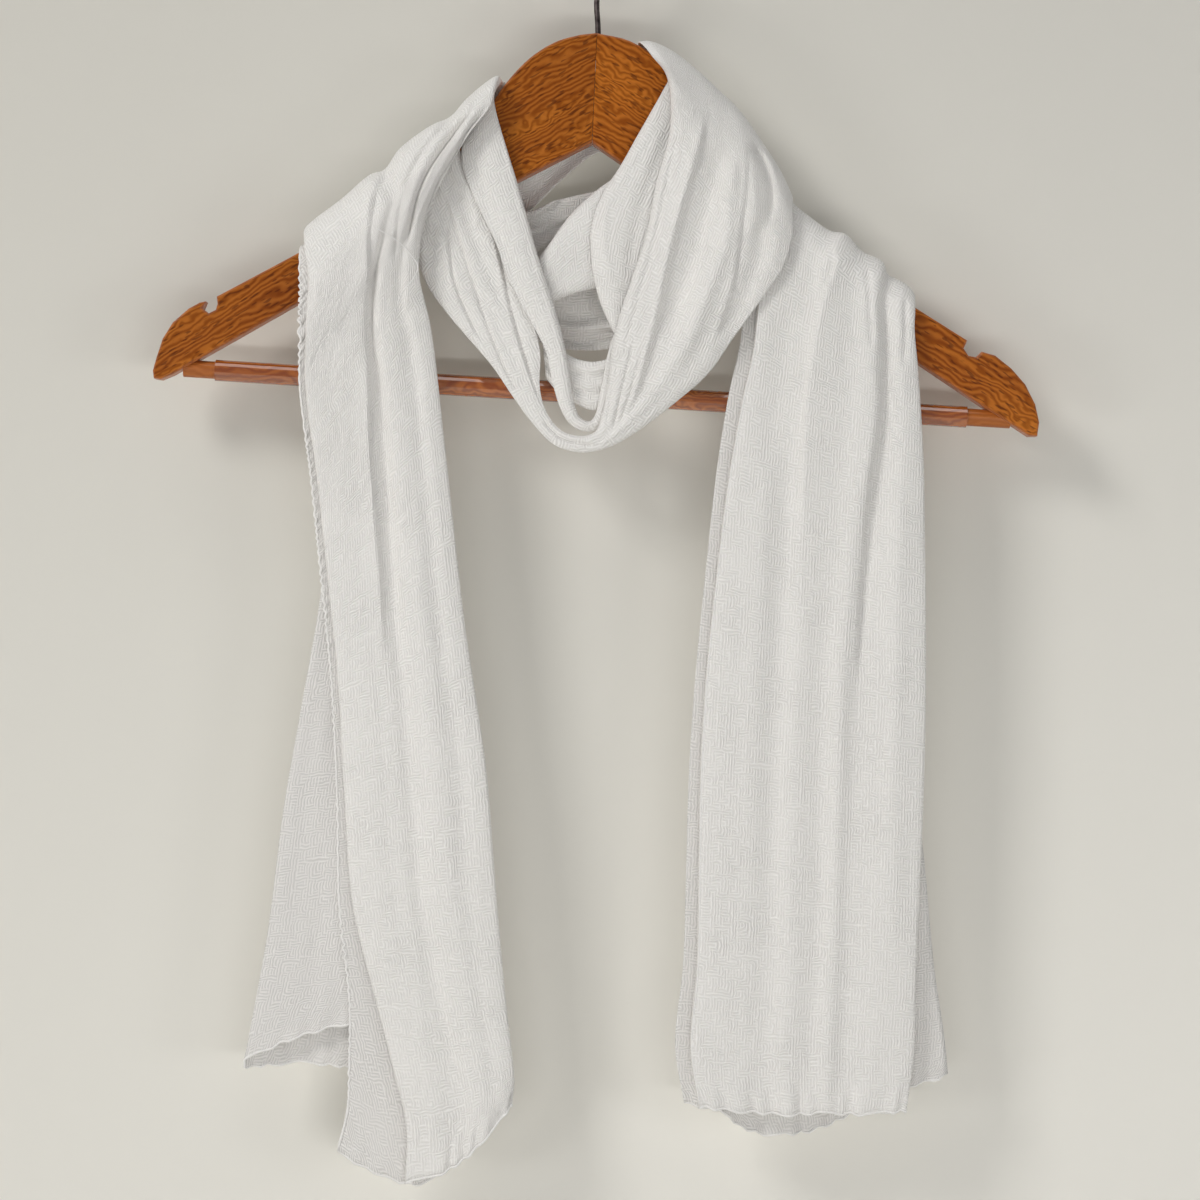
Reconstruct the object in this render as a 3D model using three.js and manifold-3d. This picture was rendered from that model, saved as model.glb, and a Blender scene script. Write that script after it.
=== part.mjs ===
import * as THREE from "three";
import Module from "manifold-3d";

// A long sheer scarf wound once round a wooden hanger: two tails and a loop in front, two crossing bands behind.
// Millimetres, +Z up, +X to the right of the front view, the front towards -Y.
// The origin is the inside top of the hook.

const wasm = await Module();
wasm.setup();

// Cloth
const CLOTH_WALL = 1.1;

// Hanger
const WOOD_THICK = 12;
const WOOD_BEVEL = 1.6;
const MITRE_GAP = 0.2;
const MITRE_TOP = { x: -0.5, z: -79 };
const MITRE_FOOT = { x: -3, z: -134 };
const BAR_RADIUS = 4.4;
const BAR_FIT = 0.15;
const SLEEVE_WALL = 0.8;
const BAR_LEFT = { x: -208, z: -246.6 };
const BAR_RIGHT = { x: 207, z: -272.5 };
const SLEEVE_LEFT_X = -192;
const SLEEVE_RIGHT_X = 185;

// Hook
const WIRE_RADIUS = 1.45;
const HOOK_INSIDE_RADIUS = 20;
const HOOK_TIP_ANGLE = 212;
const STEM_FOOT_Z = -92;

// Outline of the wood, clockwise from the top of the dome
const WOOD_TOP_RIGHT = [
  { x: -1, z: -79 },
  { x: 16, z: -83 },
  { x: 34, z: -95 },
  { x: 48, z: -112 },
  { x: 62, z: -138 },
  { x: 84, z: -165 },
  { x: 112, z: -187 },
  { x: 158, z: -216 },
  { x: 181, z: -230.5 },
];
const WOOD_NOTCH_RIGHT = [
  { x: 185, z: -233 },
  { x: 183.2, z: -237 },
  { x: 185.5, z: -240.6 },
  { x: 189.5, z: -241.4 },
  { x: 192.2, z: -238.6 },
];
const WOOD_TIP_RIGHT = [
  { x: 199, z: -240.6 },
  { x: 207, z: -247 },
  { x: 214, z: -255 },
  { x: 219, z: -265 },
  { x: 221, z: -274 },
  { x: 220, z: -281 },
  { x: 216, z: -281 },
];
const WOOD_UNDER_RIGHT = [
  { x: 210, z: -277 },
  { x: 194, z: -267 },
  { x: 160, z: -244 },
  { x: 10, z: -143 },
];
const WOOD_UNDER_LEFT = [
  { x: -41, z: -153.5 },
  { x: -148, z: -213 },
  { x: -199, z: -242 },
  { x: -213, z: -250 },
];
const WOOD_TIP_LEFT = [
  { x: -219, z: -252.5 },
  { x: -222.5, z: -252 },
  { x: -223, z: -248 },
  { x: -221, z: -241 },
  { x: -218, z: -232 },
  { x: -213, z: -224 },
  { x: -205, z: -217 },
  { x: -199.5, z: -214 },
];
const WOOD_NOTCH_LEFT = [
  { x: -196.4, z: -213.4 },
  { x: -198, z: -217 },
  { x: -195, z: -219.4 },
  { x: -191.4, z: -217.6 },
  { x: -190.6, z: -214.6 },
];
const WOOD_TOP_LEFT = [
  { x: -191, z: -211 },
  { x: -148, z: -188 },
  { x: -112, z: -168 },
  { x: -84, z: -149 },
  { x: -64, z: -131 },
  { x: -49, z: -108 },
  { x: -41, z: -98.2 },
  { x: -32, z: -89.8 },
  { x: -20, z: -82.9 },
  { x: -9, z: -79.9 },
];

const material = (color, roughness, metalness = 0) =>
  new THREE.MeshStandardMaterial({ color, roughness, metalness, side: THREE.DoubleSide });

const CLOTH_BRIGHT = 0xeceae5;
const CLOTH_MID = 0xe4e2dc;
const CLOTH_SHADE = 0xdad8d2;
const WOOD_COLOUR = 0xb0672d;
const BAR_COLOUR = 0xa85c33;
const SLEEVE_COLOUR = 0xb96946;
const STEEL_COLOUR = 0x463c3c;

const group = new THREE.Group();
group.name = "dupatta_on_hanger";

function addMesh(name, geometry, surface) {
  const mesh = new THREE.Mesh(geometry, surface);
  mesh.name = name;
  group.add(mesh);
}

// Solid helpers for the joins and cuts in the wood

function toSolid(geometry) {
  const positions = geometry.getAttribute("position");
  const index = geometry.getIndex();
  const corners = index ? Array.from(index.array) : [...Array(positions.count).keys()];
  const seen = new Map();
  const vertices = [];
  const triangles = [];
  for (const corner of corners) {
    const point = [positions.getX(corner), positions.getY(corner), positions.getZ(corner)];
    const key = point.map((value) => Math.round(value * 2000)).join(",");
    if (!seen.has(key)) {
      seen.set(key, vertices.length / 3);
      vertices.push(...point);
    }
    triangles.push(seen.get(key));
  }
  const kept = [];
  for (let i = 0; i < triangles.length; i += 3) {
    const [a, b, c] = triangles.slice(i, i + 3);
    if (a !== b && b !== c && c !== a) {
      kept.push(a, b, c);
    }
  }
  const mesh = new wasm.Mesh({
    numProp: 3,
    vertProperties: new Float32Array(vertices),
    triVerts: new Uint32Array(kept),
  });
  return new wasm.Manifold(mesh);
}

function toGeometry(solid) {
  const mesh = solid.getMesh();
  const geometry = new THREE.BufferGeometry();
  geometry.setAttribute("position", new THREE.BufferAttribute(new Float32Array(mesh.vertProperties), 3));
  geometry.setIndex(new THREE.BufferAttribute(new Uint32Array(mesh.triVerts), 1));
  return geometry;
}

function rodBetween(from, to, radius, segments, innerRadius = 0) {
  const start = new THREE.Vector3(from.x, from.y ?? 0, from.z);
  const end = new THREE.Vector3(to.x, to.y ?? 0, to.z);
  const length = start.distanceTo(end);
  const profile = [
    new THREE.Vector2(innerRadius, 0),
    new THREE.Vector2(radius, 0),
    new THREE.Vector2(radius, length),
    new THREE.Vector2(innerRadius, length),
  ];
  if (innerRadius > 0) {
    profile.push(new THREE.Vector2(innerRadius, 0));
  }
  const geometry = new THREE.LatheGeometry(profile, segments);
  const turn = new THREE.Quaternion().setFromUnitVectors(
    new THREE.Vector3(0, 1, 0),
    end.clone().sub(start).normalize(),
  );
  geometry.applyQuaternion(turn);
  geometry.translate(start.x, start.y, start.z);
  return geometry;
}

// Wooden hanger

function smoothOutline(points, stepsPerSpan) {
  const curve = new THREE.CatmullRomCurve3(
    points.map((point) => new THREE.Vector3(point.x, 0, point.z)),
    false,
    "centripetal",
  );
  const steps = (points.length - 1) * stepsPerSpan;
  return Array.from({ length: steps + 1 }, (_, i) => {
    const at = curve.getPoint(i / steps);
    return { x: at.x, z: at.z };
  });
}

function woodBlank() {
  const outline = [
    ...smoothOutline(WOOD_TOP_RIGHT, 4),
    ...WOOD_NOTCH_RIGHT,
    ...WOOD_TIP_RIGHT,
    ...WOOD_UNDER_RIGHT,
    MITRE_FOOT,
    ...WOOD_UNDER_LEFT,
    ...WOOD_TIP_LEFT,
    ...WOOD_NOTCH_LEFT,
    ...smoothOutline(WOOD_TOP_LEFT, 4),
  ];
  const shape = new THREE.Shape(outline.map((point) => new THREE.Vector2(point.x, point.z)));
  const geometry = new THREE.ExtrudeGeometry(shape, {
    depth: WOOD_THICK - 2 * WOOD_BEVEL,
    bevelEnabled: true,
    bevelThickness: WOOD_BEVEL,
    bevelSize: WOOD_BEVEL * 0.7,
    bevelOffset: -WOOD_BEVEL * 0.7,
    bevelSegments: 2,
    curveSegments: 1,
  });
  geometry.rotateX(Math.PI / 2);
  geometry.translate(0, WOOD_THICK / 2 - WOOD_BEVEL, 0);
  return toSolid(geometry);
}

function halfSpace(side) {
  const lean = Math.atan2(MITRE_TOP.x - MITRE_FOOT.x, MITRE_TOP.z - MITRE_FOOT.z);
  const geometry = new THREE.BoxGeometry(300, 60, 400);
  geometry.translate(side * (150 + MITRE_GAP / 2), 0, 0);
  geometry.rotateY(lean);
  geometry.translate(MITRE_FOOT.x, 0, MITRE_FOOT.z);
  return toSolid(geometry);
}

function buildHanger() {
  const hookBore = rodBetween({ x: 0, z: STEM_FOOT_Z - 0.5 }, { x: 0, z: -60 }, WIRE_RADIUS + BAR_FIT, 16);
  const barBore = rodBetween(BAR_LEFT, BAR_RIGHT, BAR_RADIUS + BAR_FIT, 20);
  const blank = woodBlank().subtract(toSolid(hookBore)).subtract(toSolid(barBore));
  for (const [name, side] of [["hanger_arm_left", -1], ["hanger_arm_right", 1]]) {
    addMesh(name, toGeometry(blank.intersect(halfSpace(side))), material(WOOD_COLOUR, 0.32));
  }
  const slope = (BAR_RIGHT.z - BAR_LEFT.z) / (BAR_RIGHT.x - BAR_LEFT.x);
  const onBar = (x) => ({ x, z: BAR_LEFT.z + (x - BAR_LEFT.x) * slope });
  const barStart = onBar(BAR_LEFT.x + BAR_FIT);
  const barEnd = onBar(BAR_RIGHT.x - BAR_FIT);
  addMesh("trouser_bar", rodBetween(barStart, barEnd, BAR_RADIUS, 20), material(BAR_COLOUR, 0.35));
  const sleeve = rodBetween(
    onBar(SLEEVE_LEFT_X),
    onBar(SLEEVE_RIGHT_X),
    BAR_RADIUS + BAR_FIT + SLEEVE_WALL,
    20,
    BAR_RADIUS + BAR_FIT,
  );
  addMesh("bar_sleeve", sleeve, material(SLEEVE_COLOUR, 0.22));
}

function buildHook() {
  const ring = HOOK_INSIDE_RADIUS + WIRE_RADIUS;
  const centreZ = -HOOK_INSIDE_RADIUS;
  const points = [
    new THREE.Vector3(0, 0, STEM_FOOT_Z),
    new THREE.Vector3(0, 0, -76),
    new THREE.Vector3(-0.6, 0, -62),
    new THREE.Vector3(1.2, 0, -52),
    new THREE.Vector3(9, 0, -43.5),
  ];
  for (let angle = -28; angle <= HOOK_TIP_ANGLE; angle += 20) {
    const turn = (angle * Math.PI) / 180;
    points.push(new THREE.Vector3(ring * Math.cos(turn), 0, centreZ + ring * Math.sin(turn)));
  }
  const path = new THREE.CatmullRomCurve3(points, false, "centripetal");
  const section = new THREE.Shape();
  section.absarc(0, 0, WIRE_RADIUS, 0, Math.PI * 2);
  const geometry = new THREE.ExtrudeGeometry(section, { steps: 44, curveSegments: 5, extrudePath: path });
  addMesh("hook", geometry, material(STEEL_COLOUR, 0.4, 0.9));
}

// Cloth walls
// A stretch has a row per station: the ends of the section, its depth and which way its outside faces.
// facing is in degrees: 0 to the front, 90 up, 180 to the back.
// rows is the number of steps on to the next station.
// Its lines run the whole way along it. Each one has its place across the section (0 to 1) and its
// height above it in mm, at four named stations; "more" is the number of steps on to the next line.

const LEVELS = ["first", "second", "third", "last"];

function levelValue(line, key, levels, station) {
  const values = line[key] ?? [0, 0, 0, 0];
  let span = 0;
  while (span < LEVELS.length - 2 && station > levels[span + 1]) {
    span += 1;
  }
  const share = (station - levels[span]) / (levels[span + 1] - levels[span]);
  const t = Math.min(1, Math.max(0, share));
  const eased = t * t * (3 - 2 * t);
  return values[span] + (values[span + 1] - values[span]) * eased;
}

// Stations on the arc that takes a section from one side of the arm to its crest, or from the crest to a side
function overArm(side, crest) {
  return [0, 30, 60].map((turn) => {
    const rise = Math.sin((turn * Math.PI) / 180);
    const mix = (key) => crest[key] + (side[key] - crest[key]) * (1 - rise);
    const away = Math.cos((turn * Math.PI) / 180) ** 0.7;
    return {
      ax: mix("ax"),
      az: mix("az"),
      bx: mix("bx"),
      bz: mix("bz"),
      y: side.y * away,
      facing: side.y > 0 ? 180 - turn : turn,
      sag: (crest.sag ?? 0) * rise,
    };
  });
}

function wrapped(back, crest, front) {
  return [...overArm(back, crest), { ...crest, facing: 90 }, ...overArm(front, crest).reverse()];
}

function linePoint(stretch, line, index) {
  const station = stretch.stations[index];
  const across = levelValue(line, "across", stretch.levels, index);
  const height = levelValue(line, "height", stretch.levels, index);
  const drop = levelValue(line, "drop", stretch.levels, index);
  const sag = (station.sag ?? 0) * 4 * across * (1 - across);
  const facing = ((station.facing ?? 0) * Math.PI) / 180;
  const run = station.bx - station.ax;
  const fall = station.bz - station.az;
  const lift = (height * Math.sin(facing)) / Math.hypot(run, fall);
  return new THREE.Vector3(
    station.ax + run * across - fall * lift * Math.sign(run),
    station.y - height * Math.cos(facing),
    station.az + fall * across + Math.abs(run) * lift - sag - drop,
  );
}

function samplePoints(points, stepsPerSpan) {
  const curve = new THREE.CatmullRomCurve3(points, false, "centripetal");
  const spans = points.length - 1;
  const samples = [];
  for (let span = 0; span < spans; span += 1) {
    for (let step = 0; step < stepsPerSpan[span]; step += 1) {
      samples.push(curve.getPoint((span + step / stepsPerSpan[span]) / spans));
    }
  }
  samples.push(curve.getPoint(1));
  return samples;
}

function middleSurface(stretch) {
  const spans = stretch.stations.length - 1;
  const along = stretch.stations.slice(0, spans).map((station) => station.rows ?? 1);
  const guides = stretch.lines.map((line) =>
    samplePoints(stretch.stations.map((_, index) => linePoint(stretch, line, index)), along),
  );
  const across = stretch.lines.slice(0, -1).map((line) => line.more ?? 1);
  return guides[0].map((_, row) => samplePoints(guides.map((guide) => guide[row]), across));
}

function wallGeometry(rows, wall) {
  const count = rows.length;
  const width = rows[0].length;
  const vertices = [];
  const at = (row, column, side) => (side * count + row) * width + column;
  for (const side of [1, -1]) {
    for (let row = 0; row < count; row += 1) {
      for (let column = 0; column < width; column += 1) {
        const before = rows[Math.max(0, row - 1)][column];
        const after = rows[Math.min(count - 1, row + 1)][column];
        const left = rows[row][Math.max(0, column - 1)];
        const right = rows[row][Math.min(width - 1, column + 1)];
        const normal = after.clone().sub(before).cross(right.clone().sub(left)).normalize();
        const point = rows[row][column].clone().addScaledVector(normal, (side * wall) / 2);
        vertices.push(point.x, point.y, point.z);
      }
    }
  }
  const triangles = [];
  const quad = (a, b, c, d) => triangles.push(a, b, c, a, c, d);
  for (let row = 0; row < count - 1; row += 1) {
    for (let column = 0; column < width - 1; column += 1) {
      quad(at(row, column, 0), at(row + 1, column, 0), at(row + 1, column + 1, 0), at(row, column + 1, 0));
      quad(at(row, column, 1), at(row, column + 1, 1), at(row + 1, column + 1, 1), at(row + 1, column, 1));
    }
  }
  for (let row = 0; row < count - 1; row += 1) {
    const last = width - 1;
    quad(at(row, 0, 0), at(row, 0, 1), at(row + 1, 0, 1), at(row + 1, 0, 0));
    quad(at(row, last, 0), at(row + 1, last, 0), at(row + 1, last, 1), at(row, last, 1));
  }
  for (let column = 0; column < width - 1; column += 1) {
    const last = count - 1;
    quad(at(0, column, 0), at(0, column + 1, 0), at(0, column + 1, 1), at(0, column, 1));
    quad(at(last, column, 0), at(last, column, 1), at(last, column + 1, 1), at(last, column + 1, 0));
  }
  const geometry = new THREE.BufferGeometry();
  geometry.setAttribute("position", new THREE.BufferAttribute(new Float32Array(vertices), 3));
  geometry.setIndex(triangles);
  return geometry;
}

function addCloth(name, stretch, colour) {
  addMesh(name, wallGeometry(middleSurface(stretch), CLOTH_WALL), material(colour, 0.85));
}

// Left tail, seen in front: a selvedge strip, folded under a front panel that turns back at its right edge
const LEFT_TAIL = {
  levels: [3, 10, 14, 19],
  stations: [
    ...wrapped(
      { ax: -146, az: -201, bx: -41, bz: -101, y: 13 },
      { ax: -148, az: -186.4, bx: -46, bz: -105, y: 0 },
      { ax: -148, az: -208, bx: -53, bz: -117, y: -14 },
    ),
    { ax: -148, az: -222, bx: -64, bz: -132, y: -16.4 },
    { ax: -148, az: -238, bx: -75, bz: -151, y: -16.8 },
    { ax: -148, az: -256, bx: -85, bz: -172, y: -16, rows: 2 },
    { ax: -146, az: -276, bx: -89, bz: -199, y: -14.5, rows: 2 },
    { ax: -143, az: -300, bx: -83, bz: -229, y: -12, rows: 2 },
    { ax: -139, az: -340, bx: -76, bz: -290, y: -10.4, rows: 2 },
    { ax: -133, az: -402, bx: -67, bz: -372, y: -9.5, rows: 2 },
    { ax: -130, az: -463, bx: -56, bz: -448, y: -9 },
    { ax: -129, az: -515, bx: -51, bz: -510, y: -9 },
    { ax: -124, az: -562, bx: -46, bz: -565, y: -9 },
    { ax: -124, az: -594, bx: -43, bz: -590, y: -9, sag: 4 },
    { ax: -125, az: -618, bx: -42, bz: -603, y: -9.5, sag: 14 },
    { ax: -130, az: -638, bx: -43, bz: -614, y: -10, sag: 25 },
  ],
  lines: [
    { across: [0, 0, 0, 0], height: [1, 1, 1, 1], more: 2 },
    { across: [0.2, 0.2, 0.22, 0.56], height: [0.9, 1, 1, 1], more: 2 },
    { across: [0.19, 0.2, 0.22, 0.56], height: [3.7, 3.4, 3.4, 3.4], more: 2 },
    { across: [0.05, 0.05, 0.06, 0.4], height: [3.4, 3.4, 3.4, 3.6], more: 2 },
    { across: [0.05, 0.05, 0.06, 0.4], height: [6.4, 5.8, 5.8, 6.4], more: 2 },
    { across: [0.24, 0.34, 0.3, 0.55], height: [7, 9, 8.4, 8], more: 2 },
    { across: [0.38, 0.52, 0.42, 0.64], height: [7.4, 9.4, 7.6, 6.8] },
    { across: [0.43, 0.58, 0.5, 0.72], height: [5, 6, 6, 6.4] },
    { across: [0.53, 0.66, 0.6, 0.78], height: [8.4, 9, 8, 8.4], more: 2 },
    { across: [0.68, 0.76, 0.72, 0.85], height: [7.6, 8.4, 9, 8.6] },
    { across: [0.76, 0.84, 0.82, 0.9], height: [5, 6.6, 7.6, 7.4] },
    { across: [0.86, 0.91, 0.92, 0.95], height: [7, 8, 7.4, 7.4] },
    { across: [1, 1, 1, 1], height: [6, 5.2, 5.4, 5.6], more: 2 },
    { across: [0.99, 0.98, 0.99, 0.99], height: [3, 2.6, 2.6, 2.6], more: 2 },
    { across: [0.74, 0.7, 0.66, 0.72], height: [2.4, 1.4, 1.4, 1.4] },
  ],
};

// Left tail, behind: a double ply that fans out to the left, its rear ply longer than its front ply
const LEFT_TAIL_BACK = {
  levels: [2, 5, 7, 9],
  stations: [
    { ax: -143, az: -207, bx: -103, bz: -190, y: -7 },
    { ax: -142, az: -236, bx: -100, bz: -226, y: -7 },
    { ax: -139, az: -272, bx: -96, bz: -264, y: -6.6 },
    { ax: -136, az: -312, bx: -93, bz: -304, y: -4.6 },
    { ax: -138, az: -355, bx: -90, bz: -346, y: -3, rows: 2 },
    { ax: -148, az: -415, bx: -88, bz: -408, y: -2.8, rows: 2 },
    { ax: -157, az: -466, bx: -88, bz: -460, y: -2.5, rows: 2 },
    { ax: -165, az: -528, bx: -88, bz: -520, y: -2.5, rows: 2 },
    { ax: -171, az: -562, bx: -88, bz: -552, y: -2.5 },
    { ax: -177, az: -594, bx: -88, bz: -574, y: -2.5, sag: -8 },
  ],
  lines: [
    { across: [0.95, 0.95, 0.95, 0.95], height: [3.4, 3.8, 4, 4], more: 2 },
    { across: [0.5, 0.5, 0.55, 0.55], height: [3.2, 5, 5.6, 5.6], more: 2 },
    { across: [0.14, 0.14, 0.2, 0.2], height: [3.2, 4, 4.4, 4.6], more: 2 },
    { across: [0, 0, 0, 0], height: [3, 3, 3, 3], more: 2 },
    { across: [0, 0, 0, 0], height: [0.4, 0.6, 0.4, 0.2], drop: [0, 0, 1, 3], more: 2 },
    { across: [0.3, 0.3, 0.3, 0.3], height: [0.2, -1.4, -2, -2.6], drop: [0, 0, 1, 14], more: 2 },
    { across: [0.62, 0.62, 0.62, 0.62], height: [0.2, 0.6, 0, -1], drop: [0, 0, 1, 24], more: 2 },
    { across: [0.95, 0.95, 0.95, 0.95], height: [0.2, -0.6, -1, -1.6], drop: [0, 0, 1, 30] },
  ],
};

// Right tail, seen in front
const RIGHT_TAIL = {
  levels: [3, 9, 13, 18],
  stations: [
    ...wrapped(
      { ax: 81, az: -167, bx: 155, bz: -225, y: 8.6 },
      { ax: 81, az: -158, bx: 156, bz: -212.6, y: 0 },
      { ax: 78, az: -171, bx: 157.5, bz: -228, y: -8.6 },
    ),
    { ax: 76, az: -192, bx: 159, bz: -246, y: -9 },
    { ax: 73, az: -214, bx: 160, bz: -260, y: -9.2 },
    { ax: 71, az: -234, bx: 161, bz: -276, y: -9.2, rows: 2 },
    { ax: 65, az: -262, bx: 162, bz: -296, y: -9.2, rows: 2 },
    { ax: 59, az: -300, bx: 162.5, bz: -328, y: -9.2, rows: 2 },
    { ax: 54, az: -346, bx: 163, bz: -368, y: -9.2, rows: 2 },
    { ax: 49, az: -396, bx: 163, bz: -412, y: -9.2 },
    { ax: 45.5, az: -446, bx: 162, bz: -458, y: -9.2 },
    { ax: 44, az: -496, bx: 160, bz: -506, y: -9.4 },
    { ax: 42.5, az: -544, bx: 158, bz: -552, y: -9.6 },
    { ax: 38.5, az: -586, bx: 157, bz: -590, y: -9.8 },
    { ax: 43, az: -614, bx: 153, bz: -617, y: -10, sag: 3 },
  ],
  lines: [
    { across: [0, 0, 0, 0], height: [0.4, 0.6, 0.6, 0.6] },
    { across: [0.2, 0.2, 0.17, 0.17], height: [0.4, 0.6, 0.6, 0.6], more: 2 },
    { across: [0.2, 0.2, 0.17, 0.17], height: [2.7, 3, 3, 3] },
    { across: [0.08, 0.08, 0.05, 0.07], height: [2.7, 3, 3, 3], more: 2 },
    { across: [0.08, 0.08, 0.05, 0.07], height: [5, 5.4, 5.4, 6], more: 2 },
    { across: [0.26, 0.2, 0.24, 0.26], height: [4.6, 5.4, 6.8, 6.6], more: 2 },
    { across: [0.44, 0.33, 0.36, 0.38], height: [5, 5.2, 4.8, 5.2] },
    { across: [0.51, 0.39, 0.44, 0.46], height: [8, 8, 7, 7.4], more: 2 },
    { across: [0.64, 0.58, 0.56, 0.57], height: [6, 7, 6.2, 5.6] },
    { across: [0.76, 0.73, 0.63, 0.64], height: [7.8, 8.4, 8, 7.6] },
    { across: [0.82, 0.79, 0.7, 0.7], height: [4.4, 4.4, 5.4, 5.8], more: 2 },
    { across: [0.93, 0.91, 0.86, 0.84], height: [5.6, 6.6, 7, 7], more: 2 },
    { across: [1, 1, 1, 1], height: [4, 4.2, 4.2, 4.8], more: 2 },
    { across: [0.99, 0.99, 0.99, 0.99], height: [1.5, 1.6, 1.6, 1.6], more: 2 },
    { across: [0.76, 0.76, 0.7, 0.72], height: [0.8, 0.8, 0.8, 0.8] },
  ],
};

// Right tail, behind: a ply wider than the front one low on the right, and hanging below its hem
const RIGHT_TAIL_BACK = {
  levels: [2, 4, 7, 9],
  stations: [
    { ax: 88, az: -200, bx: 152, bz: -243, y: -7.4 },
    { ax: 84, az: -228, bx: 153, bz: -266, y: -7.4 },
    { ax: 76, az: -268, bx: 153, bz: -296, y: -7.3 },
    { ax: 70, az: -312, bx: 152, bz: -330, y: -6.4, rows: 2 },
    { ax: 66, az: -366, bx: 153, bz: -376, y: -5.4, rows: 2 },
    { ax: 64, az: -430, bx: 156, bz: -434, y: -5, rows: 2 },
    { ax: 62, az: -490, bx: 163, bz: -492, y: -5, rows: 2 },
    { ax: 59, az: -550, bx: 168, bz: -546, y: -5, rows: 2 },
    { ax: 56, az: -590, bx: 173, bz: -580, y: -5 },
    { ax: 56, az: -612, bx: 175, bz: -600, y: -5.2 },
  ],
  lines: [
    { across: [0, 0, 0, 0], height: [0.2, 1.6, 2, 2], more: 2 },
    { across: [0.14, 0.14, 0.14, 0.14], height: [0, 0, -2, -1], drop: [0, 0, 2, 17], more: 2 },
    { across: [0.28, 0.28, 0.28, 0.28], height: [0.4, 2, 3, 3], drop: [0, 0, 2, 21], more: 2 },
    { across: [0.42, 0.42, 0.42, 0.42], height: [0, 0, -2, -2], drop: [0, 0, 2, 22], more: 2 },
    { across: [0.56, 0.56, 0.56, 0.56], height: [0.4, 2, 3, 3.2], drop: [0, 0, 2, 16], more: 2 },
    { across: [0.72, 0.72, 0.72, 0.72], height: [0, 0.4, -1, -1], drop: [0, 0, 1, 6], more: 2 },
    { across: [0.86, 0.86, 0.86, 0.86], height: [0.4, 2, 3, 3], drop: [0, 0, 1, 3], more: 2 },
    { across: [1, 1, 1, 1], height: [0.2, 1, 1.4, 1.4] },
  ],
};

// Front loop, its wide outer band: over the right arm, down, round the foot of the loop and up to the left arm
const FRONT_LOOP = {
  levels: [3, 11, 17, 26],
  stations: [
    ...wrapped(
      { ax: 23, az: -102, bx: 88, bz: -174, y: 16.4 },
      { ax: 21, az: -82.5, bx: 97, bz: -160, y: 0, sag: -12 },
      { ax: 34, az: -102, bx: 97, bz: -181, y: -17.5 },
    ),
    { ax: 36, az: -128, bx: 92, bz: -198, y: -18.5 },
    { ax: 29, az: -156, bx: 84, bz: -210, y: -18.5 },
    { ax: 24, az: -182, bx: 76, bz: -221, y: -18.5 },
    { ax: 16, az: -206, bx: 67, bz: -233, y: -18 },
    { ax: 8, az: -232, bx: 55, bz: -250, y: -17, rows: 2 },
    { ax: 5, az: -256, bx: 38, bz: -265, y: -16, rows: 2 },
    { ax: 2, az: -271, bx: 18, bz: -280, y: -15.5 },
    { ax: -1, az: -279, bx: 5, bz: -287, y: -15 },
    { ax: -7, az: -281.5, bx: -8, bz: -289.5, y: -15 },
    { ax: -18, az: -279, bx: -21, bz: -286, y: -14 },
    { ax: -26, az: -269, bx: -32, bz: -275.5, y: -13 },
    { ax: -29, az: -257, bx: -41, bz: -263.5, y: -12, rows: 2 },
    { ax: -29, az: -238, bx: -53, bz: -246, y: -11, rows: 2 },
    { ax: -36, az: -214, bx: -65, bz: -232, y: -10 },
    { ax: -46, az: -192, bx: -76, bz: -219, y: -9.4 },
    { ax: -54, az: -169, bx: -85, bz: -206, y: -9 },
    { ax: -60, az: -153, bx: -91, bz: -190, y: -9 },
    ...wrapped(
      { ax: -72, az: -142, bx: -98, bz: -160, y: 7.6 },
      { ax: -72, az: -131.6, bx: -98, bz: -150.5, y: 0 },
      { ax: -67, az: -143, bx: -97, bz: -171, y: -8.6 },
    ).reverse(),
  ],
  lines: [
    { across: [0, 0, 0, 0], height: [-1, -2, 0, -0.6] },
    { across: [0.04, 0.04, 0.08, 0.05], height: [1.4, 1.2, 0.4, 1] },
    { across: [0.14, 0.16, 0.18, 0.16], height: [2.6, 2.8, 0.9, 2.6] },
    { across: [0.24, 0.26, 0.3, 0.27], height: [2.7, 2.8, 1.1, 0.8] },
    { across: [0.36, 0.4, 0.42, 0.4], height: [2.4, 2, 1.3, 3], more: 2 },
    { across: [0.5, 0.52, 0.54, 0.53], height: [2.4, 2, 1.3, 0.8] },
    { across: [0.62, 0.64, 0.66, 0.66], height: [3.2, 3.2, 1.2, 2.8], more: 2 },
    { across: [0.78, 0.8, 0.8, 0.8], height: [2.4, 2, 1, 1.4] },
    { across: [0.92, 0.93, 0.92, 0.93], height: [1.6, 1, 0.6, 1.6] },
    { across: [1, 1, 1, 1], height: [0, -1, 0, -0.4] },
  ],
};

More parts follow.
